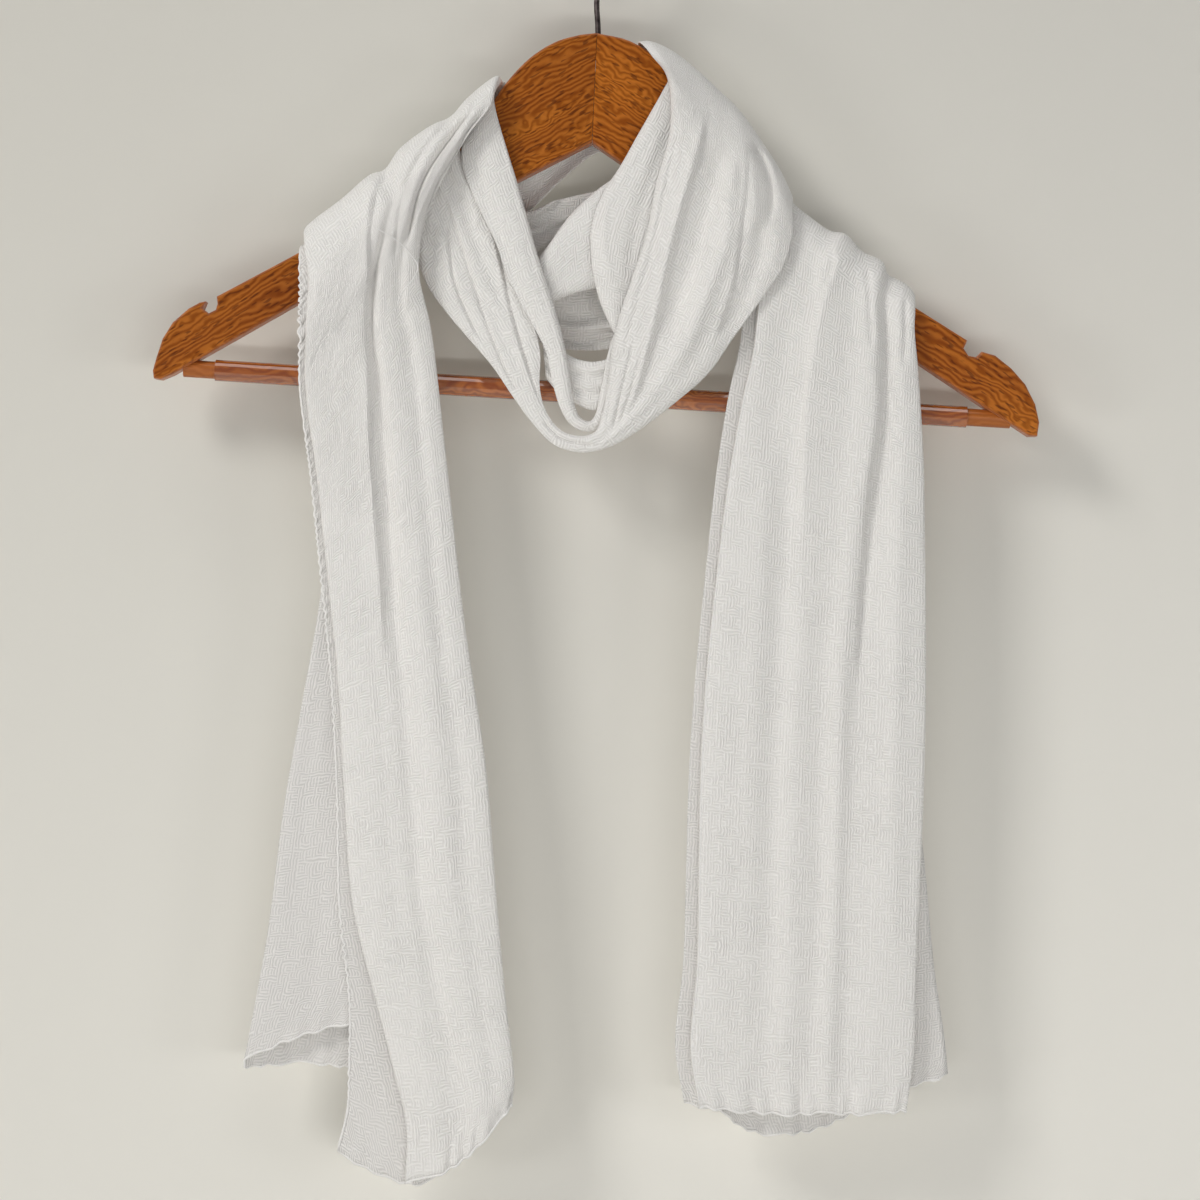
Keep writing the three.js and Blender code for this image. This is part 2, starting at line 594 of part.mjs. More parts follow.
// Front loop, its inner strand: from the left side of the dome, round the foot of the loop and up behind the band
const FRONT_LOOP_INNER = {
  levels: [1, 7, 12, 16],
  stations: [
    { ax: -51.8, az: -108.6, bx: -64.6, bz: -126.8, y: -2, facing: 75 },
    { ax: -52, az: -112, bx: -66, bz: -131, y: -7.6, facing: 40 },
    { ax: -51, az: -119, bx: -68, bz: -138, y: -10.4 },
    { ax: -48, az: -130, bx: -67, bz: -149, y: -11.8 },
    { ax: -41, az: -153, bx: -60, bz: -166, y: -13.2 },
    { ax: -35, az: -174, bx: -51, bz: -185, y: -13.8 },
    { ax: -30, az: -192, bx: -45, bz: -202, y: -13.8 },
    { ax: -23, az: -213, bx: -36.5, bz: -219, y: -13.6 },
    { ax: -17, az: -235, bx: -26, bz: -239, y: -13 },
    { ax: -14, az: -252, bx: -22.5, bz: -255, y: -12.4, rows: 2 },
    { ax: -12, az: -265, bx: -18, bz: -269, y: -11.8 },
    { ax: -9, az: -272, bx: -13, bz: -276, y: -11.4 },
    { ax: -4, az: -274, bx: -6, bz: -279, y: -11 },
    { ax: -1, az: -270, bx: 4, bz: -276, y: -10.6 },
    { ax: 1.5, az: -258, bx: 11, bz: -263, y: -10.6, rows: 2 },
    { ax: 5, az: -240, bx: 17, bz: -244, y: -10.6, rows: 2 },
    { ax: 11, az: -222, bx: 22, bz: -225, y: -10.6 },
  ],
  lines: [
    { across: [0, 0, 0, 0], height: [0, -0.8, -0.8, 0] },
    { across: [0.1, 0.1, 0.14, 0.12], height: [0.8, 1.2, 0.8, 0.5], more: 2 },
    { across: [0.36, 0.36, 0.38, 0.36], height: [1.6, 2.4, 1.6, 0.8], more: 2 },
    { across: [0.7, 0.7, 0.7, 0.7], height: [1.2, 1.8, 1.2, 0.5], more: 2 },
    { across: [1, 1, 1, 1], height: [0, 0.2, 0, 0] },
  ],
};

// Broad band at the right of the neck opening, which turns in behind the outer band
const NECK_BAND_RIGHT = {
  levels: [0, 3, 6, 8],
  stations: [
    { ax: 35, az: -104, bx: 52, bz: -124, y: -8.4 },
    { ax: 29, az: -115, bx: 51, bz: -136, y: -9.6 },
    { ax: 20, az: -131, bx: 46, bz: -151, y: -11 },
    { ax: 11, az: -147, bx: 42, bz: -166, y: -11.6 },
    { ax: 2, az: -161, bx: 37, bz: -181, y: -11.8, rows: 2 },
    { ax: -3, az: -176, bx: 33, bz: -194, y: -11.8, rows: 2 },
    { ax: -3, az: -196, bx: 28, bz: -209, y: -11.8, rows: 2 },
    { ax: 1, az: -214, bx: 22, bz: -222, y: -12, rows: 2 },
    { ax: 8, az: -230, bx: 17, bz: -234, y: -12.6 },
  ],
  lines: [
    { across: [0, 0, 0, 0], height: [-0.6, -0.8, -0.8, -0.6] },
    { across: [0.06, 0.06, 0.06, 0.08], height: [0.4, 0.8, 1, 0.2], more: 2 },
    { across: [0.26, 0.26, 0.26, 0.26], height: [1.2, 2.4, 2.6, 0.8], more: 2 },
    { across: [0.62, 0.62, 0.62, 0.62], height: [1, 1.4, 1.4, 0.6], more: 2 },
    { across: [1, 1, 1, 1], height: [0, 0, 0, 0] },
  ],
};

// Strand that crosses the neck opening, from behind the right band to behind the inner strand
const NECK_STRAND = {
  levels: [0, 2, 3, 5],
  stations: [
    { ax: 20, az: -148, bx: 30, bz: -180, y: -8.2 },
    { ax: 10, az: -151, bx: 17, bz: -198, y: -8.2, rows: 2 },
    { ax: -4, az: -161, bx: 2, bz: -206, y: -8.2, rows: 2 },
    { ax: -15, az: -172, bx: -10, bz: -209, y: -8.2, rows: 2 },
    { ax: -25, az: -186, bx: -21, bz: -213, y: -8.2, rows: 2 },
    { ax: -35, az: -199, bx: -32, bz: -220, y: -8.2 },
  ],
  lines: [
    { across: [0, 0, 0, 0], height: [-1.4, -2.2, -2.2, -1.4] },
    { across: [0.06, 0.06, 0.06, 0.06], height: [0, 0.2, 0.2, 0], more: 2 },
    { across: [0.32, 0.32, 0.32, 0.32], height: [1, 1.4, 1.4, 1], more: 2 },
    { across: [0.66, 0.66, 0.66, 0.66], height: [0.6, 0.8, 0.8, 0.6], more: 2 },
    { across: [0.94, 0.94, 0.94, 0.94], height: [-0.4, -0.6, -0.6, -0.4] },
    { across: [1, 1, 1, 1], height: [-2, -2.4, -2.4, -2] },
  ],
};

// Low strand in front of the bar, inside the loop
const LOW_STRAND = {
  levels: [0, 2, 3, 5],
  stations: [
    { ax: -28, az: -231, bx: -26, bz: -252, y: -7.8 },
    { ax: -20, az: -237, bx: -19, bz: -260, y: -7.8 },
    { ax: -12, az: -242, bx: -11, bz: -265, y: -7.8, rows: 2 },
    { ax: -3, az: -244, bx: -2, bz: -268, y: -7.8, rows: 2 },
    { ax: 6, az: -242, bx: 7, bz: -264, y: -7.8 },
    { ax: 14, az: -236, bx: 16, bz: -256, y: -7.8 },
  ],
  lines: [
    { across: [0, 0, 0, 0], height: [-0.6, -0.6, -0.6, -0.6], more: 2 },
    { across: [0.16, 0.16, 0.16, 0.16], height: [0.8, 0.8, 0.8, 0.8] },
    { across: [0.32, 0.32, 0.32, 0.32], height: [-0.6, -0.6, -0.6, -0.6] },
    { across: [0.5, 0.5, 0.5, 0.5], height: [0.8, 0.8, 0.8, 0.8] },
    { across: [0.68, 0.68, 0.68, 0.68], height: [-0.4, -0.4, -0.4, -0.4] },
    { across: [0.86, 0.86, 0.86, 0.86], height: [0.8, 0.8, 0.8, 0.8] },
    { across: [1, 1, 1, 1], height: [-0.6, -0.6, -0.6, -0.6] },
  ],
};

// Band behind the neck that joins the left tail to the front loop
const BACK_BAND_UPPER = {
  levels: [0, 3, 6, 9],
  stations: [
    { ax: -42, az: -103, bx: -145, bz: -203, y: 14.4, facing: 180 },
    { ax: -37, az: -101, bx: -106, bz: -195, y: 13.8, facing: 180, rows: 2 },
    { ax: -30, az: -100, bx: -66, bz: -184, y: 13.2, facing: 180, rows: 2 },
    { ax: -20, az: -98, bx: -36, bz: -167, y: 13, facing: 180, rows: 2 },
    { ax: -9, az: -96, bx: -18, bz: -150, y: 13, facing: 180, rows: 2 },
    { ax: 1, az: -95, bx: 1, bz: -136, y: 13.4, facing: 180, rows: 2 },
    { ax: 8, az: -95, bx: 20, bz: -137, y: 14.4, facing: 180 },
    { ax: 13, az: -96, bx: 42, bz: -149, y: 15.8, facing: 180 },
    { ax: 18, az: -98.5, bx: 64, bz: -163, y: 16.8, facing: 180 },
    { ax: 23, az: -103, bx: 87.5, bz: -175.4, y: 17.4, facing: 180 },
  ],
  lines: [
    { across: [0, 0, 0, 0], height: [0, -1, -0.6, 0], more: 2 },
    { across: [0.16, 0.14, 0.14, 0.16], height: [1.4, 2.4, 1.2, 0] },
    { across: [0.32, 0.3, 0.3, 0.32], height: [0, 0, 0, 0] },
    { across: [0.5, 0.48, 0.48, 0.5], height: [1.6, 2.6, 1.4, 0] },
    { across: [0.68, 0.66, 0.66, 0.68], height: [0, 0, 0, 0] },
    { across: [0.86, 0.85, 0.85, 0.86], height: [1.4, 2.2, 1.4, 0], more: 2 },
    { across: [1, 1, 1, 1], height: [-0.4, -1, -1, -0.4] },
  ],
};

// Band behind the neck that joins the front loop to the right tail
const BACK_BAND_LOWER = {
  levels: [0, 3, 5, 8],
  stations: [
    { ax: -70, az: -147, bx: -97, bz: -168, y: 7.8, facing: 180, rows: 2 },
    { ax: -54, az: -158, bx: -86, bz: -186, y: 7.8, facing: 180, rows: 2 },
    { ax: -38, az: -167, bx: -58, bz: -213, y: 7.8, facing: 180, rows: 2 },
    { ax: -20, az: -161, bx: -29, bz: -233, y: 8, facing: 180, rows: 2 },
    { ax: -3, az: -157, bx: -4, bz: -237, y: 8, facing: 180, rows: 2 },
    { ax: 18, az: -152, bx: 24, bz: -232, y: 8, facing: 180, rows: 2 },
    { ax: 42, az: -152, bx: 64, bz: -218, y: 8, facing: 180, rows: 2 },
    { ax: 62, az: -159, bx: 108, bz: -219, y: 8.2, facing: 180, rows: 2 },
    { ax: 81, az: -168.6, bx: 151, bz: -230, y: 8.6, facing: 180 },
  ],
  lines: [
    { across: [0, 0, 0, 0], height: [-0.2, -0.6, -0.6, -0.2], more: 2 },
    { across: [0.16, 0.14, 0.14, 0.16], height: [0.8, 2, 2, 0.8] },
    { across: [0.32, 0.32, 0.32, 0.32], height: [0, 0, 0, 0] },
    { across: [0.5, 0.5, 0.5, 0.5], height: [0.9, 2, 2, 1] },
    { across: [0.68, 0.68, 0.68, 0.68], height: [0, 0, 0, 0] },
    { across: [0.8, 0.8, 0.8, 0.8], height: [0.4, 1.6, 1.6, 0.4] },
    { across: [0.86, 0.86, 0.86, 0.86], height: [0, -0.4, -0.4, 0] },
    { across: [0.93, 0.93, 0.93, 0.93], height: [0.6, 1.8, 1.8, 0.6] },
    { across: [1, 1, 1, 1], height: [-0.2, -0.6, -0.6, -0.2] },
  ],
};

buildHanger();
buildHook();
addCloth("left_tail_front", LEFT_TAIL, CLOTH_BRIGHT);
addCloth("left_tail_back", LEFT_TAIL_BACK, CLOTH_SHADE);
addCloth("right_tail_front", RIGHT_TAIL, CLOTH_BRIGHT);
addCloth("right_tail_back", RIGHT_TAIL_BACK, CLOTH_SHADE);
addCloth("front_loop_outer", FRONT_LOOP, CLOTH_BRIGHT);
addCloth("front_loop_inner", FRONT_LOOP_INNER, CLOTH_BRIGHT);
addCloth("neck_band_right", NECK_BAND_RIGHT, CLOTH_BRIGHT);
addCloth("neck_strand", NECK_STRAND, CLOTH_MID);
addCloth("low_strand", LOW_STRAND, CLOTH_MID);
addCloth("back_band_upper", BACK_BAND_UPPER, CLOTH_MID);
addCloth("back_band_lower", BACK_BAND_LOWER, CLOTH_MID);

export default group;
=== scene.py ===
import math

import bmesh
import bpy
import numpy as np
from mathutils import Matrix, Vector, noise


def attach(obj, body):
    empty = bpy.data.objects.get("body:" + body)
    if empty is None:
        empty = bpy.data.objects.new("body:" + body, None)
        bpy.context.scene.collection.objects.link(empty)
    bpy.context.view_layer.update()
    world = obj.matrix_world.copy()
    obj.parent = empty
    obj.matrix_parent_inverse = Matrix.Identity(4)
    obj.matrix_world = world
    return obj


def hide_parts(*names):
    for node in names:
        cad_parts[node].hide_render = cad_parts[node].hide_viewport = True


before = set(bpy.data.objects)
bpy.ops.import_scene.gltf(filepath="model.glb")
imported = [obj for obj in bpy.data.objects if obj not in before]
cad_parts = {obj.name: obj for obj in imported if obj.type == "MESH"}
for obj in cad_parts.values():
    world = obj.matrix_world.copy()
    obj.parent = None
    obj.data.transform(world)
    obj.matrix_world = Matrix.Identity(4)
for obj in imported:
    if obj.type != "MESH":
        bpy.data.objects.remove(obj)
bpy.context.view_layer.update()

# A long sheer white scarf wound once round a lacquered wooden hanger.
# The tables are in millimetres, +Z up, +X to the right of the front view, the front towards -Y.
# The meshes are in metres.

MM = 0.001

# Camera
CAMERA_PLACE = (1.0, -1500.0, -363.0)
CAMERA_LENS = 89.58
CAMERA_SENSOR = 36.0

# Backdrop and floor
WALL_DEPTH = 34.0
FLOOR_DROP = 760.0

# How far the arms' and the bar's grain is turned from level, in degrees
LEFT_ARM_TURN = 29.0
RIGHT_ARM_TURN = -33.0
BAR_TURN = -3.6

# Cloth: its thickness, the size of a mesh cell on each kind of stretch, the share of light that a lone ply
# stops, and its hems
CLOTH_THICKNESS = 0.5
TAIL_CELL = 1.15
COARSE_CELL = 2.4
LOOP_CELL = 0.85
HIDDEN_CELL = 1.8
BACK_CELL = 1.1
SINGLE_COVER = 0.84
HEM_RADIUS = 0.65
PICOT_HEM_RADIUS = 0.7
SELVEDGE_RADIUS = 0.45
THREAD_RADIUS = 0.28
CORD_SIDES = 6
CORD_END_ROWS = 2
MERGE_DISTANCE = 0.002
SCALLOP_PITCH = 4.4
STRIP_SAG = 8.0
STRIP_FOOT_ROWS = 30
SMALLEST_GAP = 0.05

# The arc of a stretch over an arm: where its stations lie, in degrees, and how full it is, 1 being round
ARC_TURNS = (0, 30, 60)
ARC_FULLNESS = 0.7

# Ripples in a metre of cloth, across it and along it, and how high the narrow ones are beside the broad ones
BROAD_RIPPLES = (60, 9)
NARROW_RIPPLES = (150, 30)
NARROW_SHARE = 0.45

# How often, in a millimetre of hem, its waves lose step, its picots come in patches, and it rises or sinks
HEM_WANDER = 0.05
PICOT_PATCHES = 0.022
HEM_LIFT = 0.035

# Creases: the spacing of their paths' corners, a lap's step, the share of a path over which they fade in and
# from which they fade out, and how softly they stop at a fold
PATH_SPACING = 6.0
STEP_WIDTH = 0.7
FADE_IN = 0.12
FADE_OUT = 0.8
PLY_EASE = 0.4


# Shapes of the cloth
# A stretch has a row per station: the ends of the section, its depth and which way its outside faces.
# facing is in degrees: 0 to the front, 90 up, 180 to the back.
# Its folds run the whole way along it. Each one has its place across the section (0 to 1), its height above
# it and its drop below it, in mm, at the four stations that levels names. One value stands for four alike.

def station(ax, az, bx, bz, y, facing=0, sag=0):
    return {"ax": ax, "az": az, "bx": bx, "bz": bz, "y": y, "facing": facing, "sag": sag}


def fold(across, height, drop=0):
    line = {"across": across, "height": height, "drop": drop}
    return {key: value if isinstance(value, tuple) else (value,) * 4 for key, value in line.items()}


def over_arm(side, crest):
    """Stations on the arc that takes a section from one side of the arm to its crest."""
    arc = []
    for turn in ARC_TURNS:
        rise = math.sin(math.radians(turn))
        away = math.cos(math.radians(turn)) ** ARC_FULLNESS
        place = {key: crest[key] + (side[key] - crest[key]) * (1 - rise) for key in ("ax", "az", "bx", "bz")}
        facing = 180 - turn if side["y"] > 0 else turn
        arc.append(station(**place, y=side["y"] * away, facing=facing, sag=crest["sag"] * rise))
    return arc


def wrapped(back, crest, front):
    return [*over_arm(back, crest), {**crest, "facing": 90}, *over_arm(front, crest)[::-1]]


# Left tail, seen in front: a selvedge strip, folded under a front panel that turns back at its right edge
LEFT_TAIL = {
    "levels": (3, 10, 14, 19),
    "stations": [
        *wrapped(
            station(-146, -201, -41, -101, 13),
            station(-148, -186.4, -46, -105, 0),
            station(-148, -208, -53, -117, -14),
        ),
        station(-148, -222, -64, -132, -16.4),
        station(-148, -238, -75, -151, -16.8),
        station(-148, -256, -85, -172, -16),
        station(-146, -276, -89, -199, -14.5),
        station(-143, -300, -83, -229, -12),
        station(-139, -340, -76, -290, -10.4),
        station(-133, -402, -67, -372, -9.5),
        station(-130, -463, -56, -448, -9),
        station(-129, -515, -51, -510, -9),
        station(-124, -562, -46, -565, -9),
        station(-124, -594, -43, -590, -9, sag=4),
        station(-125, -618, -42, -603, -9.5, sag=14),
        station(-130, -638, -43, -614, -10, sag=25),
    ],
    "folds": [
        fold(0, 1),
        fold((0.2, 0.2, 0.22, 0.56), (0.9, 1, 1, 1)),
        fold((0.19, 0.2, 0.22, 0.56), (3.7, 3.4, 3.4, 3.4)),
        fold((0.05, 0.05, 0.06, 0.4), (3.4, 3.4, 3.4, 3.6)),
        fold((0.05, 0.05, 0.06, 0.4), (6.4, 5.8, 5.8, 6.4)),
        fold((0.24, 0.34, 0.3, 0.55), (7, 9, 8.4, 8)),
        fold((0.38, 0.52, 0.42, 0.64), (7.4, 9.4, 7.6, 6.8)),
        fold((0.43, 0.58, 0.5, 0.72), (5, 6, 6, 6.4)),
        fold((0.53, 0.66, 0.6, 0.78), (8.4, 9, 8, 8.4)),
        fold((0.68, 0.76, 0.72, 0.85), (7.6, 8.4, 9, 8.6)),
        fold((0.76, 0.84, 0.82, 0.9), (5, 6.6, 7.6, 7.4)),
        fold((0.86, 0.91, 0.92, 0.95), (7, 8, 7.4, 7.4)),
        fold(1, (6, 5.2, 5.4, 5.6)),
        fold((0.99, 0.98, 0.99, 0.99), (3, 2.6, 2.6, 2.6)),
        fold((0.74, 0.7, 0.66, 0.72), (2.4, 1.4, 1.4, 1.4)),
    ],
}

# Left tail, behind: a double ply that fans out to the left, its rear ply longer than its front ply
LEFT_TAIL_BACK = {
    "levels": (2, 5, 7, 9),
    "stations": [
        station(-143, -207, -103, -190, -7),
        station(-142, -236, -100, -226, -7),
        station(-139, -272, -96, -264, -6.6),
        station(-136, -312, -93, -304, -4.6),
        station(-138, -355, -90, -346, -3),
        station(-148, -415, -88, -408, -2.8),
        station(-157, -466, -88, -460, -2.5),
        station(-165, -528, -88, -520, -2.5),
        station(-171, -562, -88, -552, -2.5),
        station(-177, -594, -88, -574, -2.5, sag=-8),
    ],
    "folds": [
        fold(0.95, (3.4, 3.8, 4, 4)),
        fold((0.5, 0.5, 0.55, 0.55), (3.2, 5, 5.6, 5.6)),
        fold((0.14, 0.14, 0.2, 0.2), (3.2, 4, 4.4, 4.6)),
        fold(0, 3),
        fold(0, (0.4, 0.6, 0.4, 0.2), drop=(0, 0, 1, 3)),
        fold(0.3, (0.2, -1.4, -2, -2.6), drop=(0, 0, 1, 14)),
        fold(0.62, (0.2, 0.6, 0, -1), drop=(0, 0, 1, 24)),
        fold(0.95, (0.2, -0.6, -1, -1.6), drop=(0, 0, 1, 30)),
    ],
}

# Right tail, seen in front
RIGHT_TAIL = {
    "levels": (3, 9, 13, 18),
    "stations": [
        *wrapped(
            station(81, -167, 155, -225, 8.6),
            station(81, -158, 156, -212.6, 0),
            station(78, -171, 157.5, -228, -8.6),
        ),
        station(76, -192, 159, -246, -9),
        station(73, -214, 160, -260, -9.2),
        station(71, -234, 161, -276, -9.2),
        station(65, -262, 162, -296, -9.2),
        station(59, -300, 162.5, -328, -9.2),
        station(54, -346, 163, -368, -9.2),
        station(49, -396, 163, -412, -9.2),
        station(45.5, -446, 162, -458, -9.2),
        station(44, -496, 160, -506, -9.4),
        station(42.5, -544, 158, -552, -9.6),
        station(38.5, -586, 157, -590, -9.8),
        station(43, -614, 153, -617, -10, sag=3),
    ],
    "folds": [
        fold(0, (0.4, 0.6, 0.6, 0.6)),
        fold((0.2, 0.2, 0.17, 0.17), (0.4, 0.6, 0.6, 0.6)),
        fold((0.2, 0.2, 0.17, 0.17), (2.7, 3, 3, 3)),
        fold((0.08, 0.08, 0.05, 0.07), (2.7, 3, 3, 3)),
        fold((0.08, 0.08, 0.05, 0.07), (5, 5.4, 5.4, 6)),
        fold((0.26, 0.2, 0.24, 0.26), (4.6, 5.4, 6.8, 6.6)),
        fold((0.44, 0.33, 0.36, 0.38), (5, 5.2, 4.8, 5.2)),
        fold((0.51, 0.39, 0.44, 0.46), (8, 8, 7, 7.4)),
        fold((0.64, 0.58, 0.56, 0.57), (6, 7, 6.2, 5.6)),
        fold((0.76, 0.73, 0.63, 0.64), (7.8, 8.4, 8, 7.6)),
        fold((0.82, 0.79, 0.7, 0.7), (4.4, 4.4, 5.4, 5.8)),
        fold((0.93, 0.91, 0.86, 0.84), (5.6, 6.6, 7, 7)),
        fold(1, (4, 4.2, 4.2, 4.8)),
        fold(0.99, (1.5, 1.6, 1.6, 1.6)),
        fold((0.76, 0.76, 0.7, 0.72), 0.8),
    ],
}

# Right tail, behind: a ply wider than the front one low on the right, and hanging below its hem
RIGHT_TAIL_BACK = {
    "levels": (2, 4, 7, 9),
    "stations": [
        station(88, -200, 152, -243, -7.4),
        station(84, -228, 153, -266, -7.4),
        station(76, -268, 153, -296, -7.3),
        station(70, -312, 152, -330, -6.4),
        station(66, -366, 153, -376, -5.4),
        station(64, -430, 156, -434, -5),
        station(62, -490, 163, -492, -5),
        station(59, -550, 168, -546, -5),
        station(56, -590, 173, -580, -5),
        station(56, -612, 175, -600, -5.2),
    ],
    "folds": [
        fold(0, (0.2, 1.6, 2, 2)),
        fold(0.14, (0, 0, -2, -1), drop=(0, 0, 2, 17)),
        fold(0.28, (0.4, 2, 3, 3), drop=(0, 0, 2, 21)),
        fold(0.42, (0, 0, -2, -2), drop=(0, 0, 2, 22)),
        fold(0.56, (0.4, 2, 3, 3.2), drop=(0, 0, 2, 16)),
        fold(0.72, (0, 0.4, -1, -1), drop=(0, 0, 1, 6)),
        fold(0.86, (0.4, 2, 3, 3), drop=(0, 0, 1, 3)),
        fold(1, (0.2, 1, 1.4, 1.4)),
    ],
}

# Front loop, its wide outer band: over the right arm, down, round the foot of the loop and up to the left arm
FRONT_LOOP = {
    "levels": (3, 11, 17, 26),
    "stations": [
        *wrapped(
            station(23, -102, 88, -174, 16.4),
            station(21, -82.5, 97, -160, 0, sag=-12),
            station(34, -102, 97, -181, -17.5),
        ),
        station(36, -128, 92, -198, -18.5),
        station(29, -156, 84, -210, -18.5),
        station(24, -182, 76, -221, -18.5),
        station(16, -206, 67, -233, -18),
        station(8, -232, 55, -250, -17),
        station(5, -256, 38, -265, -16),
        station(2, -271, 18, -280, -15.5),
        station(-1, -279, 5, -287, -15),
        station(-7, -281.5, -8, -289.5, -15),
        station(-18, -279, -21, -286, -14),
        station(-26, -269, -32, -275.5, -13),
        station(-29, -257, -41, -263.5, -12),
        station(-29, -238, -53, -246, -11),
        station(-36, -214, -65, -232, -10),
        station(-46, -192, -76, -219, -9.4),
        station(-54, -169, -85, -206, -9),
        station(-60, -153, -91, -190, -9),
        *wrapped(
            station(-72, -142, -98, -160, 7.6),
            station(-72, -131.6, -98, -150.5, 0),
            station(-67, -143, -97, -171, -8.6),
        )[::-1],
    ],
    "folds": [
        fold(0, (-1, -2, 0, -0.6)),
        fold((0.04, 0.04, 0.08, 0.05), (1.4, 1.2, 0.4, 1)),
        fold((0.14, 0.16, 0.18, 0.16), (2.6, 2.8, 0.9, 2.6)),
        fold((0.24, 0.26, 0.3, 0.27), (2.7, 2.8, 1.1, 0.8)),
        fold((0.36, 0.4, 0.42, 0.4), (2.4, 2, 1.3, 3)),
        fold((0.5, 0.52, 0.54, 0.53), (2.4, 2, 1.3, 0.8)),
        fold((0.62, 0.64, 0.66, 0.66), (3.2, 3.2, 1.2, 2.8)),
        fold((0.78, 0.8, 0.8, 0.8), (2.4, 2, 1, 1.4)),
        fold((0.92, 0.93, 0.92, 0.93), (1.6, 1, 0.6, 1.6)),
        fold(1, (0, -1, 0, -0.4)),
    ],
}

# Front loop, its inner strand: from the left of the dome, round the foot of the loop and up behind the band
FRONT_LOOP_INNER = {
    "levels": (1, 7, 12, 16),
    "stations": [
        station(-51.8, -108.6, -64.6, -126.8, -2, facing=75),
        station(-52, -112, -66, -131, -7.6, facing=40),
        station(-51, -119, -68, -138, -10.4),
        station(-48, -130, -67, -149, -11.8),
        station(-41, -153, -60, -166, -13.2),
        station(-35, -174, -51, -185, -13.8),
        station(-30, -192, -45, -202, -13.8),
        station(-23, -213, -36.5, -219, -13.6),
        station(-17, -235, -26, -239, -13),
        station(-14, -252, -22.5, -255, -12.4),
        station(-12, -265, -18, -269, -11.8),
        station(-9, -272, -13, -276, -11.4),
        station(-4, -274, -6, -279, -11),
        station(-1, -270, 4, -276, -10.6),
        station(1.5, -258, 11, -263, -10.6),
        station(5, -240, 17, -244, -10.6),
        station(11, -222, 22, -225, -10.6),
    ],
    "folds": [
        fold(0, (0, -0.8, -0.8, 0)),
        fold((0.1, 0.1, 0.14, 0.12), (0.8, 1.2, 0.8, 0.5)),
        fold((0.36, 0.36, 0.38, 0.36), (1.6, 2.4, 1.6, 0.8)),
        fold(0.7, (1.2, 1.8, 1.2, 0.5)),
        fold(1, (0, 0.2, 0, 0)),
    ],
}

# Broad band at the right of the neck opening, which turns in behind the outer band
NECK_BAND_RIGHT = {
    "levels": (0, 3, 6, 8),
    "stations": [
        station(35, -104, 52, -124, -8.4),
        station(29, -115, 51, -136, -9.6),
        station(20, -131, 46, -151, -11),
        station(11, -147, 42, -166, -11.6),
        station(2, -161, 37, -181, -11.8),
        station(-3, -176, 33, -194, -11.8),
        station(-3, -196, 28, -209, -11.8),
        station(1, -214, 22, -222, -12),
        station(8, -230, 17, -234, -12.6),
    ],
    "folds": [
        fold(0, (-0.6, -0.8, -0.8, -0.6)),
        fold((0.06, 0.06, 0.06, 0.08), (0.4, 0.8, 1, 0.2)),
        fold(0.26, (1.2, 2.4, 2.6, 0.8)),
        fold(0.62, (1, 1.4, 1.4, 0.6)),
        fold(1, 0),
    ],
}

# Strand that crosses the neck opening, from behind the right band to behind the inner strand
NECK_STRAND = {
    "levels": (0, 2, 3, 5),
    "stations": [
        station(20, -148, 30, -180, -8.2),
        station(10, -151, 17, -198, -8.2),
        station(-4, -161, 2, -206, -8.2),
        station(-15, -172, -10, -209, -8.2),
        station(-25, -186, -21, -213, -8.2),
        station(-35, -199, -32, -220, -8.2),
    ],
    "folds": [
        fold(0, (-1.4, -2.2, -2.2, -1.4)),
        fold(0.06, (0, 0.2, 0.2, 0)),
        fold(0.32, (1, 1.4, 1.4, 1)),
        fold(0.66, (0.6, 0.8, 0.8, 0.6)),
        fold(0.94, (-0.4, -0.6, -0.6, -0.4)),
        fold(1, (-2, -2.4, -2.4, -2)),
    ],
}

# Low strand in front of the bar, inside the loop
LOW_STRAND = {
    "levels": (0, 2, 3, 5),
    "stations": [
        station(-28, -231, -26, -252, -7.8),
        station(-20, -237, -19, -260, -7.8),
        station(-12, -242, -11, -265, -7.8),
        station(-3, -244, -2, -268, -7.8),
        station(6, -242, 7, -264, -7.8),
        station(14, -236, 16, -256, -7.8),
    ],
    "folds": [
        fold(0, -0.6),
        fold(0.16, 0.8),
        fold(0.32, -0.6),
        fold(0.5, 0.8),
        fold(0.68, -0.4),
        fold(0.86, 0.8),
        fold(1, -0.6),
    ],
}

# Band behind the neck that joins the left tail to the front loop
BACK_BAND_UPPER = {
    "levels": (0, 3, 6, 9),
    "stations": [
        station(-42, -103, -145, -203, 14.4, facing=180),
        station(-37, -101, -106, -195, 13.8, facing=180),
        station(-30, -100, -66, -184, 13.2, facing=180),
        station(-20, -98, -36, -167, 13, facing=180),
        station(-9, -96, -18, -150, 13, facing=180),
        station(1, -95, 1, -136, 13.4, facing=180),
        station(8, -95, 20, -137, 14.4, facing=180),
        station(13, -96, 42, -149, 15.8, facing=180),
        station(18, -98.5, 64, -163, 16.8, facing=180),
        station(23, -103, 87.5, -175.4, 17.4, facing=180),
    ],
    "folds": [
        fold(0, (0, -1, -0.6, 0)),
        fold((0.16, 0.14, 0.14, 0.16), (1.4, 2.4, 1.2, 0)),
        fold((0.32, 0.3, 0.3, 0.32), 0),
        fold((0.5, 0.48, 0.48, 0.5), (1.6, 2.6, 1.4, 0)),
        fold((0.68, 0.66, 0.66, 0.68), 0),
        fold((0.86, 0.85, 0.85, 0.86), (1.4, 2.2, 1.4, 0)),
        fold(1, (-0.4, -1, -1, -0.4)),
    ],
}

